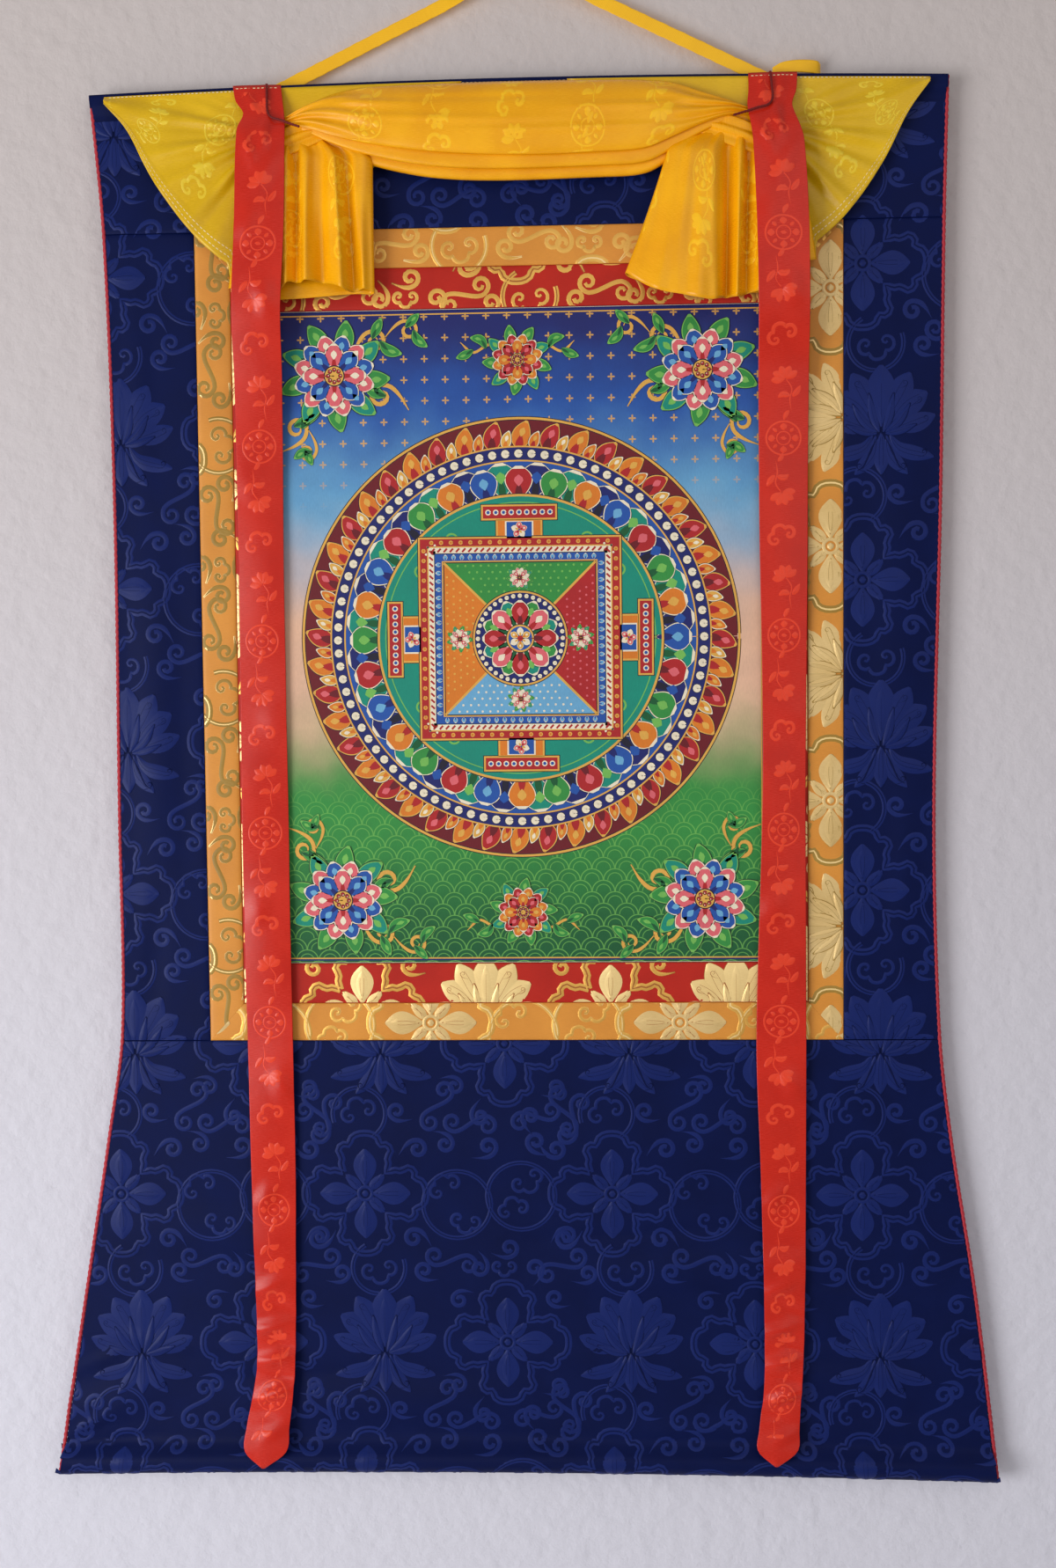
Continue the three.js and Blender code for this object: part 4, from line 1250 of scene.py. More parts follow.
def walled_square():
    """A walled square with a gate on each side and four coloured quarters."""
    gate = []
    for half_x, half_z, colour, layer in (
        (30, 6.6, INK, 13), (29.4, 6.0, GOLD_PAINT, 14), (28, 4.6, RED_PAINT, 15),
    ):
        gate.append(block(0, 97.4, half_x, half_z, colour, layer))
    for i in range(-4, 5):
        gate += placed([disc(2.2, CREAM, 16, 14), disc(1.3, BLUE, 17, 12)], 6 * i, 97.4)
    for half_x, half_z, colour, layer in (
        (18.6, 9.4, INK, 13), (18, 8.8, GOLD_PAINT, 14), (16.6, 8.0, ORANGE, 15),
        (11, 7.6, CREAM, 16), (9.8, 7.0, BLUE, 17),
    ):
        gate.append(block(0, 83, half_x, half_z, colour, layer))
    gate += placed(petal_ring(5, 0.6, 6.4, 2.4, (PINK, CREAM), 18), 0, 84)
    bands = quarters(gate)
    for half, colour, layer in (
        (79.4, INK, 16), (78.8, GOLD_PAINT, 17), (77.4, RED_PAINT, 18), (71.8, GOLD_PAINT, 19),
        (70.8, CREAM, 20), (66.4, INK, 21), (65.8, BLUE, 22), (60.4, GOLD_PAINT, 23),
    ):
        bands.append(block(0, 0, half, half, colour, layer))
    wall = []
    for i in range(-9, 10):
        wall += placed([disc(1.7, GOLD_PAINT, 20, 10), disc(0.9, ORANGE, 21, 8)], 7.6 * i, 74.6)
        drop = painted_petal(((0, -2.4), (0, 0), (0, 2.2)), 1.7, SKY, 23, 6, seed=False)
        wall += placed(drop, 6.4 * i, 63.2)
    for i in range(-14, 15):
        wall.append(dab([(4.8 * i - 1.3, 67.3), (4.8 * i + 1.3, 70.1)], 0.75, RED_PAINT, 21))
    bands += quarters(wall)
    bands.append(block(0, 0, 59.4, 59.4, INK, 24))
    for turn, colour, pattern in (
        (0, LEAF, LIGHT_LEAF), (90, ORANGE, GOLD_PAINT), (180, SKY, CREAM), (270, RED_PAINT, PINK),
    ):
        quarter = [dab([(0, 0), (0, 58.6)], (0, 58.6), colour, 25)]
        for row in range(5):
            level = 36.5 + 5 * row
            for i in range(-int(level // 6) + 1, int(level // 6)):
                spot = 6 * i + (3 if row % 2 else 0)
                if abs(spot) < level - 5:
                    quarter += placed([disc(0.9, pattern, 26, 8)], spot, level)
        quarter += placed(rosette(10.5, (LEAF, TEAL), (CREAM, PINK), 27), 0, 47)
        bands += placed(quarter, turn=turn)
    corner = [dab([(0, 30), (0, 83.2)], 0.9, GOLD_PAINT, 26)]
    return bands + placed(quarters(corner), turn=45)


def heart():
    """A double flower in a ringed disc."""
    bands = [disc(37.4, INK, 28, 64), disc(36.8, GOLD_PAINT, 29, 64), disc(35.4, DEEP_BLUE, 30, 64)]
    bands += bead_ring(40, 33.0, 1.7, CREAM, 31)
    bands += petal_ring(8, 9, 31, 7.0, (TEAL, LEAF), 31, 0.5, fullness=1.2)
    bands += petal_ring(8, 8, 29.6, 7.4, (RED_PAINT, PINK), 33, 0, fullness=1.3)
    bands += [disc(11.2, INK, 38, 40), disc(10.6, GOLD_PAINT, 39, 40), disc(9.2, BLUE, 40, 40)]
    bands += petal_ring(6, 1.6, 8.6, 2.6, (CREAM, GOLD_PAINT), 41, fullness=1.2)
    return bands + [disc(2.2, RED_PAINT, 46, 16)]


def leaf(middle, tip, half):
    """A leaf with a pale rim."""
    return painted_petal(((0, 0), middle, tip), half, LEAF, 15, 9, rim=LIGHT_LEAF)


def corner_flowers():
    """Large flowers with tendrils and leaves in the four corners, and smaller ones above and below."""
    corner = []
    for x, z, size, turn, flip in (
        (-36, -16, 1.5, 200, True), (-32, 26, 1.4, 150, False), (30, -40, 1.4, -60, True),
        (-58, 34, 1.2, 170, False), (22, -58, 1.1, -80, False),
    ):
        tendril = brushed(curl_line(6.0, 1.25, 16, 8), 1.1, GOLD_PAINT, 14, 26)
        corner += placed(tendril, x, z, size, turn, flip)
        corner += placed(leaf((5, 4), (13, 5), 3.2), x - 4, z, size, turn + 40, flip)
        corner += placed(leaf((4, -3), (10, -7), 2.8), x + 2, z + 2, size, turn, flip)
    corner += rosette(43, (LEAF, TEAL), (PINK, BLUE), 17)
    bands = []
    for flip in (False, True):
        for up in (0, 180):
            side = 1 if up == 0 else -1
            bands += placed(corner, (-142 if flip else 142) * side, 204 * side, 1, up, flip)
    small = mirrored(brushed(((6, 2), (20, 12), (34, 6), (44, 14)), 1.0, GOLD_PAINT, 14, 20))
    small += mirrored(placed(leaf((5, 4), (12, 3), 3.0), 24, 9, 1.2, 20))
    small += mirrored(placed(leaf((5, -3), (11, -5), 2.8), 34, 8, 1.2, 0))
    small += rosette(27, (LEAF, TEAL), (ORANGE, RED_PAINT), 17)
    return bands + placed(small, 0, 214) + placed(small, 0, -214, 1, 180)


def margin():
    """A pale line with a dark one inside it round the picture."""
    bands = []
    for inset, half, colour, layer in (
        (0.9, 0.9, CREAM, 2), (2.4, 0.6, DEEP_BLUE, 1), (3.6, 0.5, GOLD_PAINT, 1),
    ):
        across, up = PAINTING_REACH[0] - inset - 0.4, PAINTING_REACH[1] - inset - 0.4
        for side in (-1, 1):
            bands.append(block(0, side * up, across + half, half, colour, layer))
            bands.append(block(side * across, 0, half, up, colour, layer))
    return bands


def picture_bands():
    return corner_flowers() + wheel() + disc_sprays() + walled_square() + heart() + margin()


def canvas_ground():
    """Painted ground: sky that deepens upwards, a warm middle and a green field with rows of ripples."""
    material, shader, start = new_finish("painted_canvas_ground", Specular_IOR_Level=0.3)
    u, v = flat_places(start)
    x, y = u * 1000, v * 1000
    wander = (cloudy(start, u, v, 22) - 0.5) * 40
    paint = (y + wander).smooth(0, 120).blend((0.78, 0.47, 0.31), PAINT_COLOURS["sky"])
    paint = (y + wander).smooth(90, 190).blend(paint, PAINT_COLOURS["blue"])
    paint = (y + wander).smooth(170, 250).blend(paint, PAINT_COLOURS["deep_blue"])
    paint = (y + wander).smooth(-30, -130).blend(paint, PAINT_COLOURS["leaf"])
    paint = (y + wander).smooth(-130, -250).blend(paint, PAINT_COLOURS["dark_green"])
    row = (y / 9).maths("FLOOR", y / 9)
    across = (x + (row % 2) * 9) % 18 - 9
    ripple = (across * across + (y - row * 9) ** 2) ** 0.5
    line = (abs(ripple - 8.8).below(0.4) + abs(ripple - 5.6).below(0.3)) * y.smooth(-95, -150) * 0.7
    paint = line.blend(paint, PAINT_COLOURS["light_leaf"])
    across, up = x % 16 - 8, y % 16 - 8
    spread = (across * across + up * up) ** 0.5
    lobes = across.maths("COSINE", across.maths("ARCTAN2", up, across) * 4)
    floret = (spread - 1.7 - 1.1 * lobes).below(0, 0.4) * y.smooth(95, 150) * 0.85
    finish_paint(start, shader, u, v, floret.blend(paint, PAINT_COLOURS["gold"]))
    return material


def finish_paint(start, shader, u, v, paint):
    """Uneven pigment, brush marks and the weave of the canvas."""
    brush = cloudy(start, u * 900, v * 260, 1, 3)
    pigment = cloudy(start, u, v, 34, 4)
    tone = (brush * 0.6 + pigment * 0.8 - 0.2).blend((0.62, 0.62, 0.66), (1, 1, 1))
    multiply = {"data_type": "RGBA", "blend_type": "MULTIPLY"}
    shaded = start.node("ShaderNodeMix", multiply, {0: 0.7, 6: paint, 7: tone}, 2)
    shaded.feed(shader, "Base Color")
    (0.46 + pigment * 0.24).feed(shader, "Roughness")
    weave = u.wave(0.9 * MM) * 0.5 + v.wave(0.9 * MM) * 0.5
    marks = weave + brush * 0.8
    bump = start.node("ShaderNodeBump", None, {"Strength": 0.5, "Distance": 0.05 * MM, "Height": marks})
    bump.feed(shader, "Normal")


def paint_coat(name, colour):
    material, shader, start = new_finish("paint_" + name, Specular_IOR_Level=0.3)
    u, v = flat_places(start)
    finish_paint(start, shader, u, v, (*colour, 1))
    return material


CANVAS = canvas_ground()
PAINTS = [paint_coat(*row) for row in PAINT_COLOURS.items()]


# Flat cloth of the scroll, each piece with its woven figure.

GOLD_X = PAINTING[0] / 2 + RED_STRIP[0] + GOLD_STRIP[0]
GOLD_Z = PAINTING[1] / 2 + RED_STRIP[1] + GOLD_STRIP[1]
RED_REACH = (PAINTING_REACH[0] + RED_STRIP[0], PAINTING_REACH[1] + RED_STRIP[1])
GOLD_REACH = (GOLD_X, GOLD_Z)
SEAM_DIP = 0.9
SEAM_REACH = 1.1
DAMASK_START = (-114, -558)


def sewn(distance):
    """How far a sewn edge dips into its seam, by distance from it."""
    return SEAM_DIP * np.exp(-np.maximum(distance, 0) / SEAM_REACH)


def flat_piece(name, node, finish, back, us, vs, outline, edges):
    """A flat cloth piece: outline(u, v) gives x and z, edges(x, z) the distance from its nearest seam."""
    def place(u, v):
        x, z = outline(u, v)
        return at(x, z, FRONT + cloth_depth(x, z) - sewn(edges(x, z)))

    bm = bmesh.new()
    add_grid(bm, us, vs, place, outline)
    return finish_piece(bm, name, [finish], [node], CLOTH_THICKNESS, back)


def flat_figure(name, finishes, bands, low, high, cuts, edges):
    """Woven figure on a flat cloth piece."""
    def lay(x, z, height):
        return at(x, z, FRONT + cloth_depth(x, z) - sewn(edges(x, z)) + height)

    return finish_figure(cut_figure(bands, low, high, cuts), name, finishes, lay)


def border_outline(inner, outer, end, side):
    """Outline of one mitred strip between two rectangles given by their half sizes."""
    near = SEAM_GAP / 2
    reach_in, reach_out = (inner[0], outer[0]) if end else (inner[1], outer[1])
    low, high = (inner[1], outer[1]) if end else (inner[0], outer[0])

    def outline(u, v):
        lengthwise, across = (u, v) if end else (v, u)
        offset = lerp(low + near, high - near, across if side > 0 else 1 - across)
        reach = lerp(reach_in, reach_out, (offset - low) / (high - low)) - near
        run = lerp(-reach, reach, lengthwise)
        return (run, side * offset) if end else (side * offset, run)

    return outline


def border_strip(name, node, finish, back, figure, inner, outer, end, side, start, turn):
    """One mitred strip of a border with its figure."""
    width, height = outer[0] - inner[0], outer[1] - inner[1]
    across = with_edges(6, height if end else width, (0.6, 1.5, 3))
    run = with_edges(100 if end else 130, 2 * (outer[0] if end else outer[1]), (0.6, 1.5, 3))
    us, vs = (run, across) if end else (across, run)

    def edges(x, z):
        offset, low, high = (np.abs(z), inner[1], outer[1]) if end else (np.abs(x), inner[0], outer[0])
        return np.minimum(offset - low, high - offset)

    strip = flat_piece(name, node, finish, back, us, vs, border_outline(inner, outer, end, side), edges)
    near, far = (inner[1] + 0.5, outer[1] - 0.5) if end else (inner[0] + 0.5, outer[0] - 0.5)
    offsets = sorted((side * near, side * far))
    reach = outer[0] if end else outer[1]
    low = np.array((-reach, offsets[0]) if end else (offsets[0], -reach))
    high = np.array((reach, offsets[1]) if end else (offsets[1], reach))
    cuts = []
    for hand in (-1, 1):
        corner = (hand * inner[0], side * inner[1], 0) if end else (side * inner[0], hand * inner[1], 0)
        outward = (hand * height, -side * width, 0) if end else (-side * height, hand * width, 0)
        cuts.append((corner, outward))
    bands = brocade(low, high, start, turn)
    woven_on = flat_figure(name + "_figure", figure, bands, low, high, cuts, edges)
    length = (inner[0] + outer[0]) if end else (inner[1] + outer[1])
    cut = (length, height) if end else (width, length)
    tuple(MM * size for size in cut)


def painting():
    """Painted canvas in the middle, with a pale line round it."""
    half = (PAINTING_REACH[0] - SEAM_GAP / 2, PAINTING_REACH[1] - SEAM_GAP / 2)

    def outline(u, v):
        return lerp(-half[0], half[0], u), lerp(-half[1], half[1], v)

    def edges(x, z):
        return np.minimum(half[0] - np.abs(x), half[1] - np.abs(z))

    piece = flat_piece("painted_canvas", "painting", CANVAS, RAW_CANVAS,
                       with_edges(48, PAINTING[0]), with_edges(64, PAINTING[1]), outline, edges)

    def lay(x, z, height):
        layer = (height + FIGURE_SINK) / FIGURE_LAYER
        return at(x, z, FRONT + cloth_depth(x, z) - sewn(edges(x, z)) + 0.06 + layer * PAINT_LAYER)

    high = np.array(half) - 0.3
    design = cut_figure(picture_bands(), -high, high)
    picture = finish_figure(design, "canvas_picture", PAINTS, lay)


def side_panel(name, node, edge, side):
    """Blue strip between the gold border and a long edge."""
    reach = GOLD_Z - SEAM_GAP / 2
    inner = side * (GOLD_X + SEAM_GAP / 2)

    def outline(u, v):
        z = lerp(-reach, reach, v)
        outer = edge(z)
        return lerp(np.minimum(outer, inner), np.maximum(outer, inner), u), z

    def edges(x, z):
        return np.minimum(np.abs(x - inner), reach - np.abs(z))

    width = np.mean(np.abs(edge(np.linspace(-reach, reach, 50)) - inner))
    piece = flat_piece(name, node, DAMASK, DAMASK_BACK, with_edges(18, width),
                       with_edges(130, 2 * reach), outline, edges)
    across = sorted((inner + side * 0.5, inner + side * 1.3 * width))
    low, high = np.array((across[0], -reach + 0.5)), np.array((across[1], reach - 0.5))
    cuts = [((-side * 0.8, 0, 0), (side, 0, 0), edge)]
    bands = brocade(low, high, DAMASK_START)
    woven_on = flat_figure(name + "_figure", DAMASK_FIGURE, bands, low, high, cuts, edges)


ROLL_TOP = 2 * ROLL_RADIUS + 9
BACK_DEPTH = -2.4


def roll_profile():
    """Depth and height of the bottom hem, from its end on the back, round the rod and up the front."""
    angles = np.radians(np.arange(300, 45, -15))
    turn = np.stack([ROLL_RADIUS * np.sin(angles), ROLL_RADIUS * (1 + np.cos(angles))], -1)
    behind = [(BACK_DEPTH, ROLL_TOP + 20), (BACK_DEPTH, ROLL_TOP + 8)]
    behind += [(BACK_DEPTH - 0.4, ROLL_TOP - 3), (-5.6, 21)]
    before = [(4.0, 22.0), (1.7, 25.6), (FRONT, ROLL_TOP)]
    return np.concatenate([behind, turn, before])


def hem_profile():
    """Depth and height of the top hem from its top edge, from its end on the back to the front."""
    half = TOP_HEM_HALF
    return np.array([
        (BACK_DEPTH, -34), (BACK_DEPTH, -22), (BACK_DEPTH - 0.2, -15), (-half, -11), (-half, -5),
        (-half * 0.86, -1.4), (-half * 0.45, -0.2), (half * 0.45, -0.2), (half * 0.86, -1.4),
        (half, -5), (half, -10), (half * 0.7, -12.5), (FRONT + 0.2, -16), (FRONT, -20),
    ])


def bottom_panel():
    """Blue panel below the borders, its foot rolled round a rod and hemmed on the back."""
    head = -GOLD_Z - SEAM_GAP / 2
    fine, rim = even_spline(roll_profile(), 64)
    fold = BOTTOM_EDGE + ROLL_TOP
    run = head - fold

    def sheet(u, v):
        """v from 0 to 1 round the hem, and from 1 to 2 up the flat cloth."""
        shape = spline(fine, np.clip(v, 0, 1))
        height = np.where(v < 1, shape[:, 1], lerp(ROLL_TOP, head - BOTTOM_EDGE, np.clip(v - 1, 0, 1)))
        level = BOTTOM_EDGE + height
        x = lerp(left_edge(level), right_edge(level), u)
        bow = (bottom_edge(x) - BOTTOM_EDGE) * (1 - smooth_step(v, 1, 2))
        return x, level + bow, np.where(v < 1, shape[:, 0], FRONT)

    def place(u, v, height=0):
        x, z, depth = sheet(u, v)
        soft = np.where(v < 1, smooth_step(v, 0.55, 1), 1)
        step = spline(fine, np.clip(v + 0.01, 0, 1)) - spline(fine, np.clip(v - 0.01, 0, 1))
        step /= np.linalg.norm(step, axis=1)[:, None] + 1e-9
        outward = np.where(v < 0.995, step[:, 1], 1)
        downward = np.where(v < 0.995, step[:, 0], 0)
        depth = depth + cloth_depth(x, z) * soft - sewn(head - z)
        return at(x, z - downward * height, depth + outward * height)

    def flat(u, v):
        x, z, _ = sheet(u, v)
        return x, np.where(v < 1, fold - (1 - v) * rim, z)

    def lay(x, z, height):
        v = np.where(z < fold, 1 - (fold - z) / rim, 1 + (z - fold) / run)
        level = np.maximum(z, fold)
        u = (x - left_edge(level)) / (right_edge(level) - left_edge(level))
        return place(u, v, height)

    close = 1 + np.linspace(0, 1, 80)
    levels = np.concatenate([even(52)[:-1], close[:-1], 2 - np.array([2.4, 1.2, 0.5, 0]) / run])
    bm = bmesh.new()
    add_grid(bm, with_edges(170, 700), levels, place, flat)
    hem_ends(bm, fine[14:], BOTTOM_EDGE, bottom_edge)
    piece = finish_piece(bm, "blue_panel_bottom", [DAMASK], ["panel_bottom"],
                         CLOTH_THICKNESS, DAMASK_BACK)
    low, high = np.array((-385, fold - 0.97 * rim)), np.array((385, head - 0.5))
    cuts = [((0.8, 0, 0), (-1, 0, 0), left_edge), ((-0.8, 0, 0), (1, 0, 0), right_edge)]
    figure = cut_figure(brocade(low, high, DAMASK_START), low, high, cuts)
    woven_on = finish_figure(figure, "blue_panel_bottom_figure", DAMASK_FIGURE, lay)
    width = np.mean([right_edge(z) - left_edge(z) for z in np.linspace(BOTTOM_EDGE, head, 40)])


def hem_ends(bm, profile, edge_level, edge):
    """Closes both ends of a hem with cloth drawn in to its middle."""
    middle = profile.mean(axis=0)
    for side_edge, inwards in ((left_edge, 1), (right_edge, -1)):
        def place(u, v):
            around = spline(profile, u if inwards > 0 else 1 - u)
            shape = lerp(around, middle, v[:, None])
            x = side_edge(edge_level + around[:, 1]) + inwards * 1.6 * smooth_step(v, 0, 1)
            return at(x, edge(x) + shape[:, 1], shape[:, 0])

        add_grid(bm, even(40), np.array([0, 0.08, 0.3, 0.6, 0.97]), place, lambda u, v: (u * 60, v * 12))


def top_panel():
    """Blue panel above the borders, its head turned over a batten and hemmed on the back."""
    foot = GOLD_Z + SEAM_GAP / 2
    profile = hem_profile()
    fine, rim = even_spline(profile, 48)
    fold = TOP_EDGE + profile[-1, 1]
    run = fold - foot

    def sheet(u, v):
        """v from 0 to 1 up the flat cloth, and from 1 to 2 over the hem."""
        shape = spline(fine[::-1], np.clip(v - 1, 0, 1))
        height = np.where(v > 1, shape[:, 1], lerp(foot - TOP_EDGE, profile[-1, 1], np.clip(v, 0, 1)))
        level = TOP_EDGE + height
        x = lerp(left_edge(level), right_edge(level), u)
        bow = (top_edge(x) - TOP_EDGE) * smooth_step(v, 0, 1)
        return x, level + bow, np.where(v > 1, shape[:, 0], FRONT)

    def place(u, v, height=0):
        x, z, depth = sheet(u, v)
        soft = np.where(v > 1, 1 - smooth_step(v, 1, 1.4), 1)
        return at(x, z, depth + cloth_depth(x, z) * soft - sewn(z - foot) + height)

    def flat(u, v):
        x, z, _ = sheet(u, v)
        return x, np.where(v > 1, fold + (v - 1) * rim, z)

    def lay(x, z, height):
        u = (x - left_edge(z)) / (right_edge(z) - left_edge(z))
        return place(u, (z - foot) / run, height)

    levels = np.concatenate([np.array([0, 0.5, 1.2, 2.4]) / run, np.linspace(0.05, 1, 28)[:-1], 1 + even(40)])
    bm = bmesh.new()
    add_grid(bm, with_edges(130, 650), levels, place, flat)
    hem_ends(bm, fine[16:41], TOP_EDGE, top_edge)
    piece = finish_piece(bm, "blue_panel_top", [DAMASK], ["panel_top"],
                         CLOTH_THICKNESS, DAMASK_BACK)
    low, high = np.array((-335, foot + 0.5)), np.array((335, fold - 1))
    cuts = [((0.8, 0, 0), (-1, 0, 0), left_edge), ((-0.8, 0, 0), (1, 0, 0), right_edge)]
    figure = cut_figure(brocade(low, high, DAMASK_START), low, high, cuts)
    woven_on = finish_figure(figure, "blue_panel_top_figure", DAMASK_FIGURE, lay)


STRIPS = (
    ("top", 1, 1, 0),
    ("bottom", 1, -1, 0),
    ("left", 0, -1, 90),
    ("right", 0, 1, 90),
)
GOLD_STARTS = {
    "top": (-40, GOLD_Z - 74),
    "bottom": (-60, -GOLD_Z - 106),
    "left": (-GOLD_X + 76, -40),
    "right": (GOLD_X - 10, -30),
}
RED_STARTS = {"top": (14, 202), "bottom": (-30, -292), "left": (-208, 20), "right": (230, -60)}


def borders():
    for place_name, end, side, turn in STRIPS:
        figure = GOLD_FIGURE_UPRIGHT if end else GOLD_FIGURE_TURNED
        border_strip("gold_strip_" + place_name, "border_gold_" + place_name,
                     GOLD, GOLD_BACK, figure, RED_REACH, GOLD_REACH, end, side, GOLD_STARTS[place_name], turn)
        border_strip("red_strip_" + place_name, "border_red_" + place_name,
                     RED, RED_BACK, RED_FIGURE, PAINTING_REACH, RED_REACH, end, side,
                     RED_STARTS[place_name], turn)


borders()
painting()
side_panel("blue_panel_left", "panel_left", left_edge, -1)
side_panel("blue_panel_right", "panel_right", right_edge, 1)
bottom_panel()
top_panel()


# Piping and strings.

def twisted_cord(name, finish, node, points, radius, pitch, rows):
    """A two-ply cord along points given as x, z and depth."""
    line, length = even_spline(points, rows)
    ahead = np.gradient(line, axis=0)
    ahead /= np.linalg.norm(ahead, axis=1)[:, None]
    side = np.cross(ahead, np.array([0.12, 0.1, 1.0]))
    side /= np.linalg.norm(side, axis=1)[:, None]
    other = np.cross(ahead, side)

    def place(u, v):
        row = np.rint(v * rows).astype(int)
        angle = 2 * math.pi * u
        twist = angle - 2 * math.pi * v * length / pitch / 2
        ply = radius * (0.70 + 0.30 * np.abs(np.cos(twist)) ** 1.4)
        spoke = np.cos(angle)[:, None] * side[row] + np.sin(angle)[:, None] * other[row]
        point = line[row] + ply[:, None] * spoke
        return at(point[:, 0], point[:, 1], point[:, 2])

    bm = bmesh.new()
    add_grid(bm, even(10), even(rows), place, lambda u, v: (u * 8 * radius, v * length))
    weld(bm)
    bmesh.ops.holes_fill(bm, edges=[edge for edge in bm.edges if edge.is_boundary])
    bmesh.ops.recalc_face_normals(bm, faces=bm.faces[:])
    return finish_piece(bm, name, [finish], [node])


def piping(name, edge, side):
    heights = np.linspace(BOTTOM_EDGE - 2, TOP_EDGE - TOP_BOW, 60)
    x = edge(heights) + side * (PIPING_DIAMETER / 2 - PIPING_BITE)
    points = np.stack([x, heights, creases(CREASES, x, heights)], -1)
    twisted_cord("twisted_" + name, PIPING, name, points, PIPING_DIAMETER / 2, 5.0, 1100)


piping("piping_left", left_edge, -1)
piping("piping_right", right_edge, 1)
for tie_name, tie_rows in (("tie_left", TIE_LEFT), ("tie_right", TIE_RIGHT)):
    tie_points = np.stack([tie_rows["x"], tie_rows["z"], tie_rows["depth"]], -1)
    twisted_cord("string_" + tie_name, STRING, tie_name, tie_points, TIE_RADIUS, 2.6, 160)


# Veil.

SILK_THICKNESS = 0.6
SILK_FRONT = 0.6
WING_SPAN = 200
WING_DROP = 110
SWAG_RUN = 190
TAIL_DROP = 110
PLEAT_GAIN = 0.35
PLEAT_LEVEL = 17
KNOT_SLOPE = 0.35
FINE_FIGURE = 0.5


def wing(bm, rows, tie, flipped):
    """One side of the veil, open from its sewn top to the side hem and drawn in behind the ribbon."""
    def surface(s, t):
        top = along(rows, "top", s, "s")
        x = lerp(top, along(rows, "hem_x", s, "s"), t)
        z = lerp(top_edge(top) - VEIL_DROP, along(rows, "hem_z", s, "s"), t)
        radius = np.hypot(x - tie[0], z - tie[1])
        angle = np.degrees(np.arctan2(tie[1] - z, np.abs(x - tie[0])))
        folds = np.zeros_like(x)
        for middle, spread, height in zip(*WING_FOLDS.values()):
            folds += height * hump(angle - middle, spread)
        gathered = smooth_step(radius, 4, 45) * hump(radius, 150) * smooth_step(t, 0, 0.15)
        depth = VEIL_SEAM_DEPTH + 4.5 * smooth_step(t, 0, 0.6) + folds * gathered
        depth = lerp(depth, 6.0, smooth_step(s, 0.66, 0.8))
        ripple = 0.5 * np.sin(angle * 0.55 + 1.3) * gathered * smooth_step(radius, 20, 60)
        hem = 0.35 * smooth_step(t, 0.895, 0.905)
        return x, z, depth + SILK_FRONT + ripple + hem

    def place(u, v):
        s = 1 - u if flipped else u
        x, z, depth = surface(s, 1 - v)
        return at(x, z, depth)

    def flat(u, v):
        x, z, _ = surface(1 - u if flipped else u, 1 - v)
        return x, z

    def lay(x, z, height):
        px, pz, depth = surface(x / WING_SPAN, 1 - z / WING_DROP)
        return at(px, pz, depth + height * FINE_FIGURE)

    add_grid(bm, even(110), even(56), place, flat, 1)
    return lay


SWAG_PROFILE = table(
    "depth height",
    (0.02, 0.72),
    (0.02, 0.42),
    (0.06, 0.16),
    (0.18, 0.025),
    (0.36, 0.000),
    (0.47, 0.030),
    (0.49, 0.100),
    (0.51, 0.135),
    (0.55, 0.110),
    (0.63, 0.092),
    (0.70, 0.115),
    (0.72, 0.185),
    (0.735, 0.245),
    (0.77, 0.225),
    (0.86, 0.215),
    (0.94, 0.260),
    (0.99, 0.380),
    (0.97, 0.520),
    (0.87, 0.680),
    (0.68, 0.830),
    (0.40, 0.940),
    (0.10, 0.990),
    (0.01, 1.000),
)
SWAG_BACK = 4.6
SWAG_DRAPES = table(
    "x z length width turn height",
    (-60, 0.55, 110, 0.055, 0, 1.5),
    (40, 0.44, 120, 0.05, 0, 1.2),
    (90, 0.66, 80, 0.06, 0, 1.6),
    (-115, 0.72, 60, 0.06, 0, 1.8),
    (-20, 0.78, 90, 0.05, 0, -1.0),
)


def swag(bm):
    """Middle of the veil: hangs from the seam, bellies forward and turns under in stacked folded edges."""
    last = len(SWAG_PROFILE["depth"]) - 1

    def surface(u, v):
        x = lerp(SWAG["x"][0], SWAG["x"][-1], u)
        top, bottom, front = (along(SWAG, column, x, "x") for column in ("top", "bottom", "front"))
        share = along(SWAG_PROFILE, "height", v * last)
        depth = SWAG_BACK + (front - SWAG_BACK) * along(SWAG_PROFILE, "depth", v * last)
        ends = smooth_step(np.abs(x), 80, 150)
        shown = smooth_step(v, 0.62, 0.72) * (1 - smooth_step(v, 0.93, 1))
        gathers = 1.7 * ends * np.sin(2 * math.pi * (share * 4.2 + 0.25 * np.sin(x / 19)))
        drapes = creases(SWAG_DRAPES, x, share)
        sag = 1.2 * np.sin(x / 31 + 0.6) * (1 - smooth_step(v, 0.3, 0.62)) * smooth_step(v, 0.02, 0.12)
        return x, bottom + (top - bottom) * share + sag, depth + shown * (gathers + drapes)

    def place(u, v):
        return at(*surface(u, v))

    def lay(x, z, height):
        px, pz, depth = surface((x - SWAG["x"][0]) / (SWAG["x"][-1] - SWAG["x"][0]), z / SWAG_RUN)
        return at(px, pz, depth + height * FINE_FIGURE)

    add_grid(bm, even(150), even(110), place, lambda u, v: (lerp(-177, 179, u), v * SWAG_RUN), 0)
    return lay


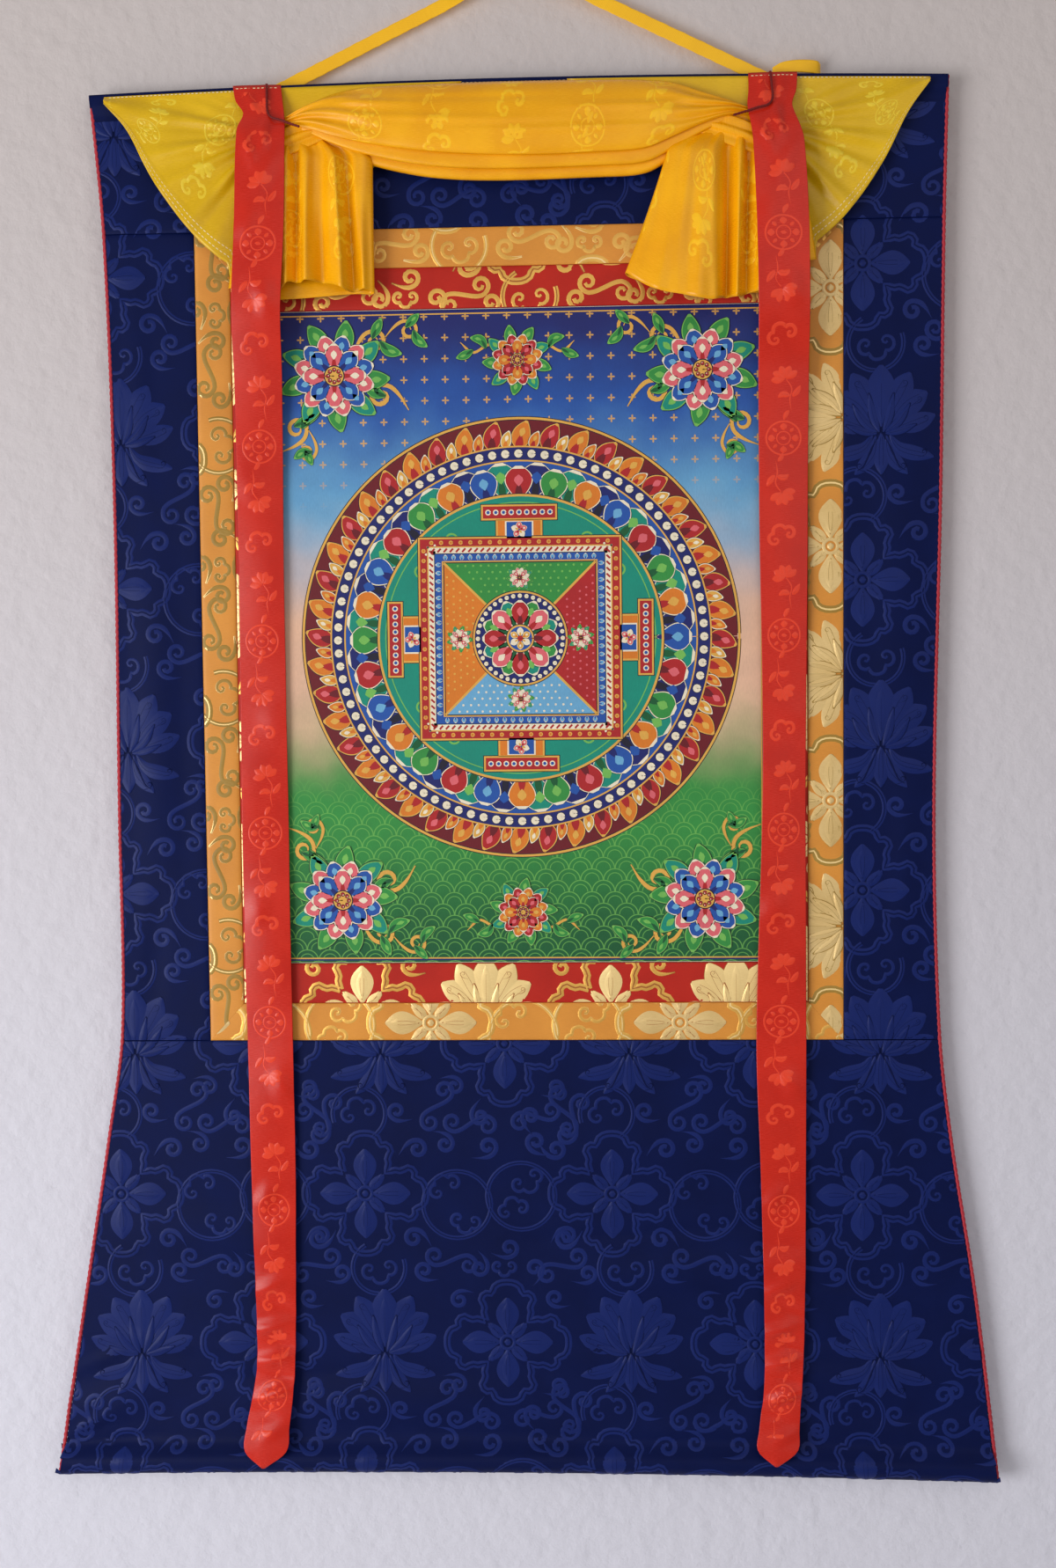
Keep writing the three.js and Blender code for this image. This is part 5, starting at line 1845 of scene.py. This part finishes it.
def knot(bm, x, z, half_width, half_height, depth, half_depth):
    """Gathered silk where the veil is tied, pleated round its length."""
    def place(u, v):
        angle = 2 * math.pi * u
        turn = math.pi * np.clip(v, 0.02, 0.98)
        ring = np.sin(turn) * (1 + 0.16 * np.cos(11 * angle + 2 * np.sin(turn)) + 0.05 * np.cos(5 * angle))
        reach = -half_width * np.cos(turn)
        slope = -math.copysign(KNOT_SLOPE, x)
        return at(x + reach, z + slope * reach + half_height * ring * np.cos(angle),
                  depth + half_depth * ring * np.sin(angle))

    add_grid(bm, even(88), even(24), place, lambda u, v: (u * 90, v * 80), 0)


def tail(bm, rows, tie, flipped):
    """Pleated end of the veil below a knot: one back-and-forth run of folds down to the hem."""
    folds = len(rows["top_x"]) - 1
    low = np.stack([rows["low_x"], rows["low_depth"]], -1)
    steps = np.concatenate([[0], np.cumsum(np.linalg.norm(np.diff(low, axis=0), axis=1))])

    def place(row, v, height=0):
        opened = (1 - v) ** 1.2
        tucked = smooth_step(v, 0.8, 1)
        top_depth = along(rows, "top_depth", row)
        x = lerp(along(rows, "top_x", row), along(rows, "low_x", row), opened)
        x = lerp(x, tie, 0.4 * tucked)
        frontwards = smooth_step(top_depth, 12, 17)
        depth = lerp(top_depth, along(rows, "low_depth", row), opened)
        depth = depth + 2.5 * frontwards * np.sin(math.pi * v)
        front = 1 - smooth_step(row, 10.2, 11)
        depth = depth + front * PLEAT_GAIN * (depth - PLEAT_LEVEL) * (1 - tucked)
        z = lerp(along(rows, "low_z", row), TAIL_TOP + TAIL_TUCK, v)
        waves = 0.9 * np.sin(row * 5.1 + 3 * v) + 0.5 * np.sin(row * 9.3 - 4 * v)
        ripple = front * waves * (0.4 + 0.6 * opened)
        hem = 0.4 * (1 - smooth_step(v, 0.085, 0.1))
        uneven = (1 - v) * 1.2 * np.sin(row * 2.3)
        depth = lerp(depth, np.minimum(depth, 12), tucked)
        return at(x, z + uneven, depth + SILK_FRONT + ripple + hem + height)

    def grid_place(u, v):
        return place((1 - u if flipped else u) * folds, v)

    def flat(u, v):
        row = (1 - u if flipped else u) * folds
        return np.interp(row, np.arange(folds + 1), steps), v * TAIL_DROP

    def lay(x, z, height):
        return place(np.interp(x, steps, np.arange(folds + 1)), z / TAIL_DROP, height * FINE_FIGURE)

    add_grid(bm, even(13 * folds), even(46), grid_place, flat, 0)
    return lay, steps[10]


def small_figure(name, materials, low, high, lay, across=56, up=104):
    low, high = np.array(low, float), np.array(high, float)
    figure = cut_figure(list(small_repeat(low, high, across, up)), low, high)
    return finish_figure(figure, name, materials, lay)


def hem_stitches(name, lines, lay):
    bands = [band for line in lines for band in stitches(line, 3.2, 2.0)]
    reach = np.array([1000.0, 1000.0])
    return finish_figure(cut_figure(bands, -reach, reach), name, [THREAD], lay)


def veil():
    """Silk veil, rolled up and tied in two places, with its woven figure and stitched hems."""
    bm = bmesh.new()
    swag_lay = swag(bm)
    for row in zip(*KNOTS.values()):
        knot(bm, *row)
    wings = {
        "left": wing(bm, WING_LEFT, TIE_POINTS["left"], False),
        "right": wing(bm, WING_RIGHT, TIE_POINTS["right"], True),
    }
    tails = {
        "left": tail(bm, TAIL_LEFT, -172, False),
        "right": tail(bm, TAIL_RIGHT, 172, True),
    }
    weld(bm)
    piece = finish_piece(bm, "silk_veil", [SILK, SILK_SINGLE], ["veil"], SILK_THICKNESS)
    silk = (SILK_RAISED, SILK_RAISED, SILK, SILK)
    single = (SILK_SINGLE_RAISED, SILK_SINGLE_RAISED, SILK_SINGLE, SILK_SINGLE)
    on_it = [small_figure("swag_figure", silk, (-150, 122), (152, 176), swag_lay)]
    for hand, (tail_lay, reach) in tails.items():
        high = (reach - 3, 92)
        on_it.append(small_figure(f"tail_{hand}_figure", silk, (4, 16), high, tail_lay))
    for hand, lay in wings.items():
        on_it.append(small_figure(f"wing_{hand}_figure", single, (6, 18), (128, 100), lay))
        lines = [[(2, level), (80, level), (160, level)] for level in (4.0, 8.0)]
        on_it.append(hem_stitches(f"wing_{hand}_stitches", lines, lay))
    top = [(x, top_edge(x) - VEIL_DROP - 1.0) for x in np.linspace(-312, 312, 41)]
    def on_seam(x, z, height):
        return at(x, z, VEIL_SEAM_DEPTH + 1.3 + height)

    on_it.append(hem_stitches("veil_top_stitches", [top], on_seam))


veil()


# Ribbons.

RIBBON_FRONT = 0.6
RIBBON_CUP = 0.6
RIBBON_CRUMPLES = table(
    "x z length width turn height",
    (-6, -512, 22, 8, 24, 2.6),
    (7, -530, 20, 8, -22, -1.6),
    (-6, -545, 22, 7, 14, 3.6),
    (5, -558, 20, 7, -18, -2.0),
    (-4, -571, 22, 7, 9, 4.0),
    (6, -584, 19, 7, -12, -1.9),
    (0, -598, 24, 7, 20, 3.6),
    (-5, -612, 20, 7, -9, -1.7),
    (6, -628, 18, 7, 24, 2.0),
    (-7, -440, 18, 10, 60, 2.0),
    (8, -350, 18, 11, 112, 2.0),
    (-7, -210, 18, 13, 72, 1.6),
    (8, -60, 16, 16, 104, 0.8),
    (-7, 120, 16, 16, 66, 0.9),
    (7, 260, 18, 11, 108, 2.2),
    (-9, 316, 18, 12, 70, 1.6),
    (4, 352, 26, 9, 62, 2.0),
    (-8, 370, 26, 6, 112, 2.2),
    (3, 382, 22, 5, 84, 2.2),
    (10, 393, 17, 5, 70, -1.6),
    (-7, 412, 14, 4, 98, 1.5),
    (6, 414, 14, 4, 82, 1.5),
)


def ribbon(name, rows):
    """Satin ribbon: sewn in the top seam, pinched by its string, hanging in front to a pointed tip."""
    low = rows["z"][0]

    def surface(u, v):
        z = lerp(low, RIBBON_TOP, v)
        offset = (u - 0.5) * along(rows, "width", z, "z")
        x = along(rows, "centre", z, "z") + offset
        sway = 0.7 * np.sin(z / 47 + 2 * offset / 40) + 0.4 * np.sin(z / 21 - offset / 15)
        lower = 1 - smooth_step(z, 150, 230)
        depth = creases(CREASES, x, z) + along(RIBBON_DEPTHS, "depth", z, "z") - RIBBON_CUP * (2 * u - 1) ** 2
        sway = sway * lower * smooth_step(z, low, low + 60)
        return x, z, depth + RIBBON_FRONT + sway + creases(RIBBON_CRUMPLES, offset, z)

    def place(u, v):
        return at(*surface(u, v))

    def lay(x, z, height):
        px, pz, depth = surface(x / 36 + 0.5, (z - low) / (RIBBON_TOP - low))
        return at(px, pz, depth + height * FINE_FIGURE)

    bm = bmesh.new()
    add_grid(bm, with_edges(10, 36, (0.5, 1.5)), even(330), place,
             lambda u, v: ((u - 0.5) * 36, lerp(low, RIBBON_TOP, v)))
    piece = finish_piece(bm, "satin_" + name, [SATIN], [name], 1.0)
    satin = (SATIN_RAISED, SATIN_RAISED, SATIN, SATIN)
    figure = small_figure(f"satin_{name}_figure", satin,
                          (-16.5, low + 22), (16.5, RIBBON_TOP - 6), lay, 400, 150)
    seam = [(x, RIBBON_TOP - 2.6) for x in (-16, 0, 16)]
    top = hem_stitches(f"satin_{name}_stitches", [seam], lay)
    (RIBBON_TOP - low) * MM


ribbon("ribbon_left", RIBBON_LEFT)
ribbon("ribbon_right", RIBBON_RIGHT)


# Stage and light.

def stage():
    """Pale wall seen from the front only, with painted light and shade: darker and warmer towards its top,
    paler and bluer lower down. Pale floor below it and soft light from a window on the left.
    """
    material, shader, start = new_finish("pale_wall_with_painted_shade", Roughness=0.9)
    spots = start.node("ShaderNodeTexCoord", None, None, 3)
    grain = start.node("ShaderNodeTexNoise", None, {"Vector": spots, "Scale": 70.0, "Detail": 4.0})
    bump = start.node("ShaderNodeBump", None, {"Strength": 0.55, "Distance": 0.004, "Height": grain})
    bump.feed(shader, "Normal")
    height = start.node("ShaderNodeSeparateXYZ", None, {0: spots}, 2)
    # Painted light and shade: the wall's colour goes from pale and bluish low down to darker and warmer at
    # the top, standing in for how the room's light falls on it.
    height.smooth(-1.2, 0.1).blend((0.60, 0.585, 0.645), (0.515, 0.455, 0.435)).feed(shader, "Base Color")
    behind = start.node("ShaderNodeNewGeometry", None, None, "Backfacing")
    clear = start.node("ShaderNodeBsdfTransparent")
    plaster = Tone(start.tree, shader.outputs[0])
    mixed = start.node("ShaderNodeMixShader", None, {0: behind, 1: plaster, 2: clear})
    mixed.feed(start.tree.nodes["Material Output"], "Surface")
    bm = bmesh.new()
    bmesh.ops.create_grid(bm, x_segments=1, y_segments=1, size=2.0)
    bmesh.ops.rotate(bm, verts=bm.verts[:], cent=(0, 0, 0), matrix=Matrix.Rotation(math.pi / 2, 3, "X"))
    bmesh.ops.translate(bm, verts=bm.verts[:], vec=(0, CAD_BOX[1][1] + 0.003, -0.2))
    wall = stage_piece(bm, "wall_behind", material)
    wall.visible_shadow = False
    floor_finish, floor_shader, _ = new_finish("pale_floor", Roughness=0.8)
    floor_shader.inputs["Base Color"].default_value = (0.62, 0.61, 0.60, 1)
    bm = bmesh.new()
    bmesh.ops.create_grid(bm, x_segments=1, y_segments=1, size=4.0)
    bmesh.ops.translate(bm, verts=bm.verts[:], vec=(0, 0, -2.2))
    stage_piece(bm, "floor", floor_finish)


def stage_piece(bm, name, material):
    mesh = bpy.data.meshes.new(name)
    bm.to_mesh(mesh)
    bm.free()
    mesh.materials.append(material)
    piece = bpy.data.objects.new(name, mesh)
    bpy.context.scene.collection.objects.link(piece)
    return piece


def light(name, place, aim, size, watts, colour):
    data = bpy.data.lights.new(name, "AREA")
    data.size = size
    data.energy = watts
    data.color = colour
    lamp = bpy.data.objects.new(name, data)
    turn = (Vector(aim) - Vector(place)).to_track_quat("-Z", "Y")
    lamp.matrix_world = Matrix.Translation(place) @ turn.to_matrix().to_4x4()
    bpy.context.scene.collection.objects.link(lamp)


bpy.context.scene.view_settings.view_transform = "Standard"
stage()
light("window", (-1.9, -1.9, -0.95), (0, 0, -0.8), 1.5, 54, (0.97, 0.98, 1.0))
light("room_front", (0.9, -2.4, 0.3), (0, 0, -0.5), 2.4, 13, (1.0, 0.93, 0.86))
light("room_behind", (0.6, 2.2, 0.6), (0, 0, -0.6), 2.0, 40, (1.0, 0.98, 0.96))
world = bpy.data.worlds.new("room")
bpy.context.scene.world = world
world.use_nodes = True
world.node_tree.nodes["Background"].inputs["Color"].default_value = (0.86, 0.88, 0.92, 1)
world.node_tree.nodes["Background"].inputs["Strength"].default_value = 0.45
